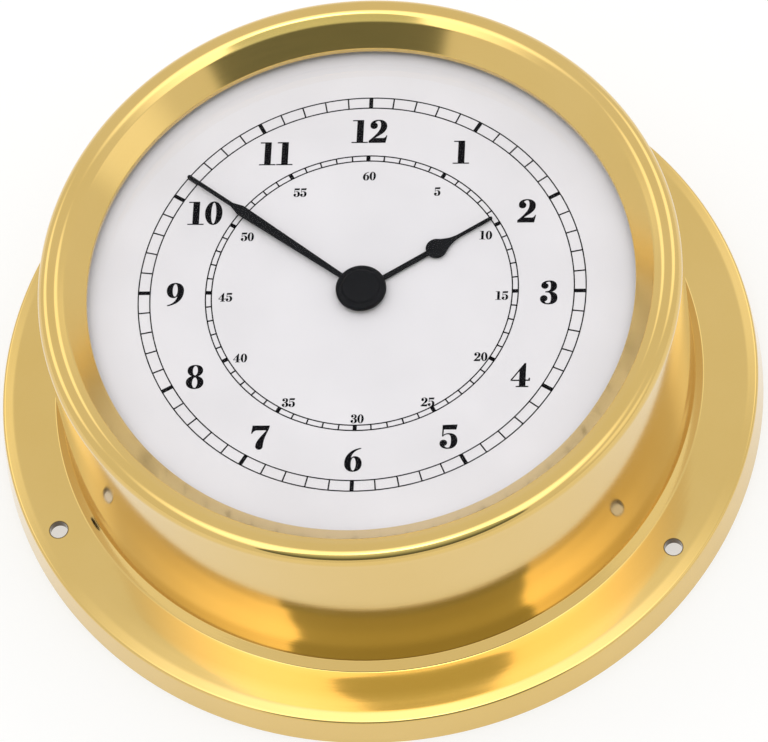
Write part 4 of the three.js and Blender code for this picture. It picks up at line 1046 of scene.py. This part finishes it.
def make_back():
    make_knob()
    make_cell()
    make_snap_ring()
    for name in ("movement_housing", "movement_cover", "movement_carrier"):
        softened(name, "moulding", "case", "black_plastic", MOULDING_EDGE, BLACK_ABS)
    for name in ("carrier_screw_left", "carrier_screw_right"):
        softened(name, "turning", "case", "steel", SCREW_EDGE, NICKEL)
    for name in ("positive_contact", "negative_contact"):
        softened(name, "strip", "case", "steel", CONTACT_EDGE, NICKEL)


# Finishes of the pieces that keep their own shape


def dress_frame():
    finishes = {
        DIAL_PAINT: ["dial_plate"],
        NITRILE: ["crystal_gasket"],
        BLACK_ABS: ["coil_bobbin", "chip_cover"],
        NICKEL: ["clutch_washer", "rotor_arbor", "motor_screw_left", "motor_screw_right", "stator",
                 "coil_core", "quartz_can"],
        TURNED_BRASS: ["centre_bush", "minute_arbor"],
        ACETAL: ["centre_wheel", "minute_wheel", "hour_wheel", "third_wheel", "seconds_wheel",
                 "intermediate_wheel", "setting_arbor"],
        BOARD: ["circuit_board"],
        COPPER: ["coil_winding"],
        FERRITE: ["rotor_magnet"],
    }
    for material, names in finishes.items():
        for name in names:
            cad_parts[name].data.materials.clear()
            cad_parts[name].data.materials.append(material)


# Stage


def make_camera():
    azimuth, elevation = math.radians(VIEW_AZIMUTH), math.radians(VIEW_ELEVATION)
    level = math.cos(elevation)
    back = Vector((math.sin(azimuth) * level, -math.cos(azimuth) * level, math.sin(elevation)))
    lens = bpy.data.cameras.new("camera")
    lens.sensor_width = SENSOR_WIDTH
    lens.lens = PIXELS_PER_METRE * VIEW_DISTANCE / PHOTO_WIDTH * SENSOR_WIDTH
    lens.shift_x = (PHOTO_WIDTH / 2 - ORIGIN_PIXEL[0]) / PHOTO_WIDTH
    lens.shift_y = (ORIGIN_PIXEL[1] - PHOTO_HEIGHT / 2) / PHOTO_WIDTH
    camera = placed("camera", lens)
    turn = (-back).to_track_quat("-Z", "Y").to_matrix() @ Matrix.Rotation(-math.radians(VIEW_ROLL), 3, "Z")
    camera.matrix_world = Matrix.Translation(back * VIEW_DISTANCE) @ turn.to_4x4()
    bpy.context.scene.camera = camera


def make_floor():
    """A round white paper floor: dull and even, seen through from below."""
    material, tree = new_finish("white_paper_floor")
    paper = node(tree, "ShaderNodeBsdfPrincipled", {"Base Color": linear("FAFAFA"), "Roughness": 0.9})
    path = node(tree, "ShaderNodeLightPath").outputs
    mirrored = node(tree, "ShaderNodeMath", {
        0: path["Is Glossy Ray"], 1: path["Is Transmission Ray"]}, operation="MAXIMUM")
    seen = node(tree, "ShaderNodeMath", {
        0: path["Is Camera Ray"], 1: mirrored.outputs[0]}, operation="MAXIMUM")
    share = node(tree, "ShaderNodeMath", {0: seen.outputs[0], 1: FLOOR_WHITE_SHARE}, operation="MULTIPLY")
    white = node(tree, "ShaderNodeEmission", {"Strength": 1})
    lit = node(tree, "ShaderNodeMixShader", {0: share.outputs[0], 1: paper.outputs[0], 2: white.outputs[0]})
    side = node(tree, "ShaderNodeNewGeometry")
    through = node(tree, "ShaderNodeBsdfTransparent")
    mix = node(tree, "ShaderNodeMixShader", {
        0: side.outputs["Backfacing"], 1: lit.outputs[0], 2: through.outputs[0]})
    node(tree, "ShaderNodeOutputMaterial", {"Surface": mix.outputs[0]})
    work = bmesh.new()
    bmesh.ops.create_circle(work, cap_ends=True, segments=FLOOR_FACETS, radius=FLOOR_RADIUS)
    mesh = bpy.data.meshes.new("floor")
    work.to_mesh(mesh)
    work.free()
    mesh.materials.append(material)
    placed("floor", mesh)


def make_light_tent():
    """A pale room with glows overhead and at its sides, and an opening round the camera.

    The opening is a rounded square of bearing and rise, dark low down and bright high up.
    """
    world = bpy.data.worlds.new("light_tent")
    world.use_nodes = True
    tree = world.node_tree
    tree.nodes.clear()
    azimuth = math.radians(VIEW_AZIMUTH)
    front = (math.sin(azimuth), -math.cos(azimuth), 0)
    side = (math.cos(azimuth), math.sin(azimuth), 0)
    way = node(tree, "ShaderNodeTexCoord").outputs["Generated"]
    ahead = node(tree, "ShaderNodeVectorMath", {0: way, 1: front}, operation="DOT_PRODUCT")
    aside = node(tree, "ShaderNodeVectorMath", {0: way, 1: side}, operation="DOT_PRODUCT")
    up = node(tree, "ShaderNodeSeparateXYZ", {0: way})
    bearing = node(tree, "ShaderNodeMath", {
        0: aside.outputs["Value"], 1: ahead.outputs["Value"]}, operation="ARCTAN2")
    rise = node(tree, "ShaderNodeMath", {0: up.outputs[2]}, operation="ARCSINE")
    near = []
    for angle, low, high in ((bearing, OPENING_LEFT, OPENING_RIGHT), (rise, OPENING_BOTTOM, OPENING_TOP)):
        low, high = math.radians(low), math.radians(high)
        share = node(tree, "ShaderNodeMapRange", {
            "Value": angle.outputs[0], "From Min": low, "From Max": high, "To Min": -1, "To Max": 1},
            clamp=False)
        size = node(tree, "ShaderNodeMath", {0: share.outputs[0]}, operation="ABSOLUTE")
        near.append(node(tree, "ShaderNodeMath", {
            0: size.outputs[0], 1: OPENING_SQUARENESS}, operation="POWER"))
    both = node(tree, "ShaderNodeMath", {0: near[0].outputs[0], 1: near[1].outputs[0]}, operation="ADD")
    open_share = node(tree, "ShaderNodeMapRange", {
        "Value": both.outputs[0], "From Min": 1 - OPENING_EDGE, "From Max": 1 + OPENING_EDGE,
        "To Min": 1, "To Max": 0}, interpolation_type="SMOOTHSTEP")
    lit = ROOM_LIGHT
    for panel in PANELS.values():
        turn, tilt = azimuth + math.radians(panel["bearing"]), math.radians(panel["elevation"])
        middle = (math.sin(turn) * math.cos(tilt), -math.cos(turn) * math.cos(tilt), math.sin(tilt))
        toward = node(tree, "ShaderNodeVectorMath", {0: way, 1: middle}, operation="DOT_PRODUCT")
        glow = node(tree, "ShaderNodeMapRange", {
            "Value": toward.outputs["Value"], "From Min": math.cos(math.radians(panel["reach"])),
            "From Max": math.cos(math.radians(panel["core"])), "To Min": 0, "To Max": panel["light"]},
            interpolation_type="SMOOTHSTEP")
        lit = node(tree, "ShaderNodeMath", {0: glow.outputs[0], 1: lit}, operation="ADD").outputs[0]
    dim = node(tree, "ShaderNodeMapRange", {
        "Value": rise.outputs[0], "From Min": math.radians(OPENING_DIM_ELEVATION),
        "From Max": math.radians(OPENING_TOP), "To Min": OPENING_LOW_LIGHT, "To Max": OPENING_HIGH_LIGHT})
    tent = node(tree, "ShaderNodeMix", {"Factor": open_share.outputs[0], 2: lit, 3: dim.outputs[0]})
    tint = node(tree, "ShaderNodeMix", {
        "Factor": open_share.outputs[0], 6: (1, 1, 1, 1), 7: linear(OPENING_TINT)}, data_type="RGBA")
    background = node(tree, "ShaderNodeBackground", {
        "Color": tint.outputs[2], "Strength": tent.outputs[0]})
    node(tree, "ShaderNodeOutputWorld", {"Surface": background.outputs[0]})
    bpy.context.scene.world = world


make_camera()
make_floor()
make_light_tent()
make_case()
make_crystal()
make_dial_print()
make_hour_hand()
make_minute_hand()
make_hub()
make_back()
dress_frame()

bpy.context.scene.view_settings.view_transform = "Standard"
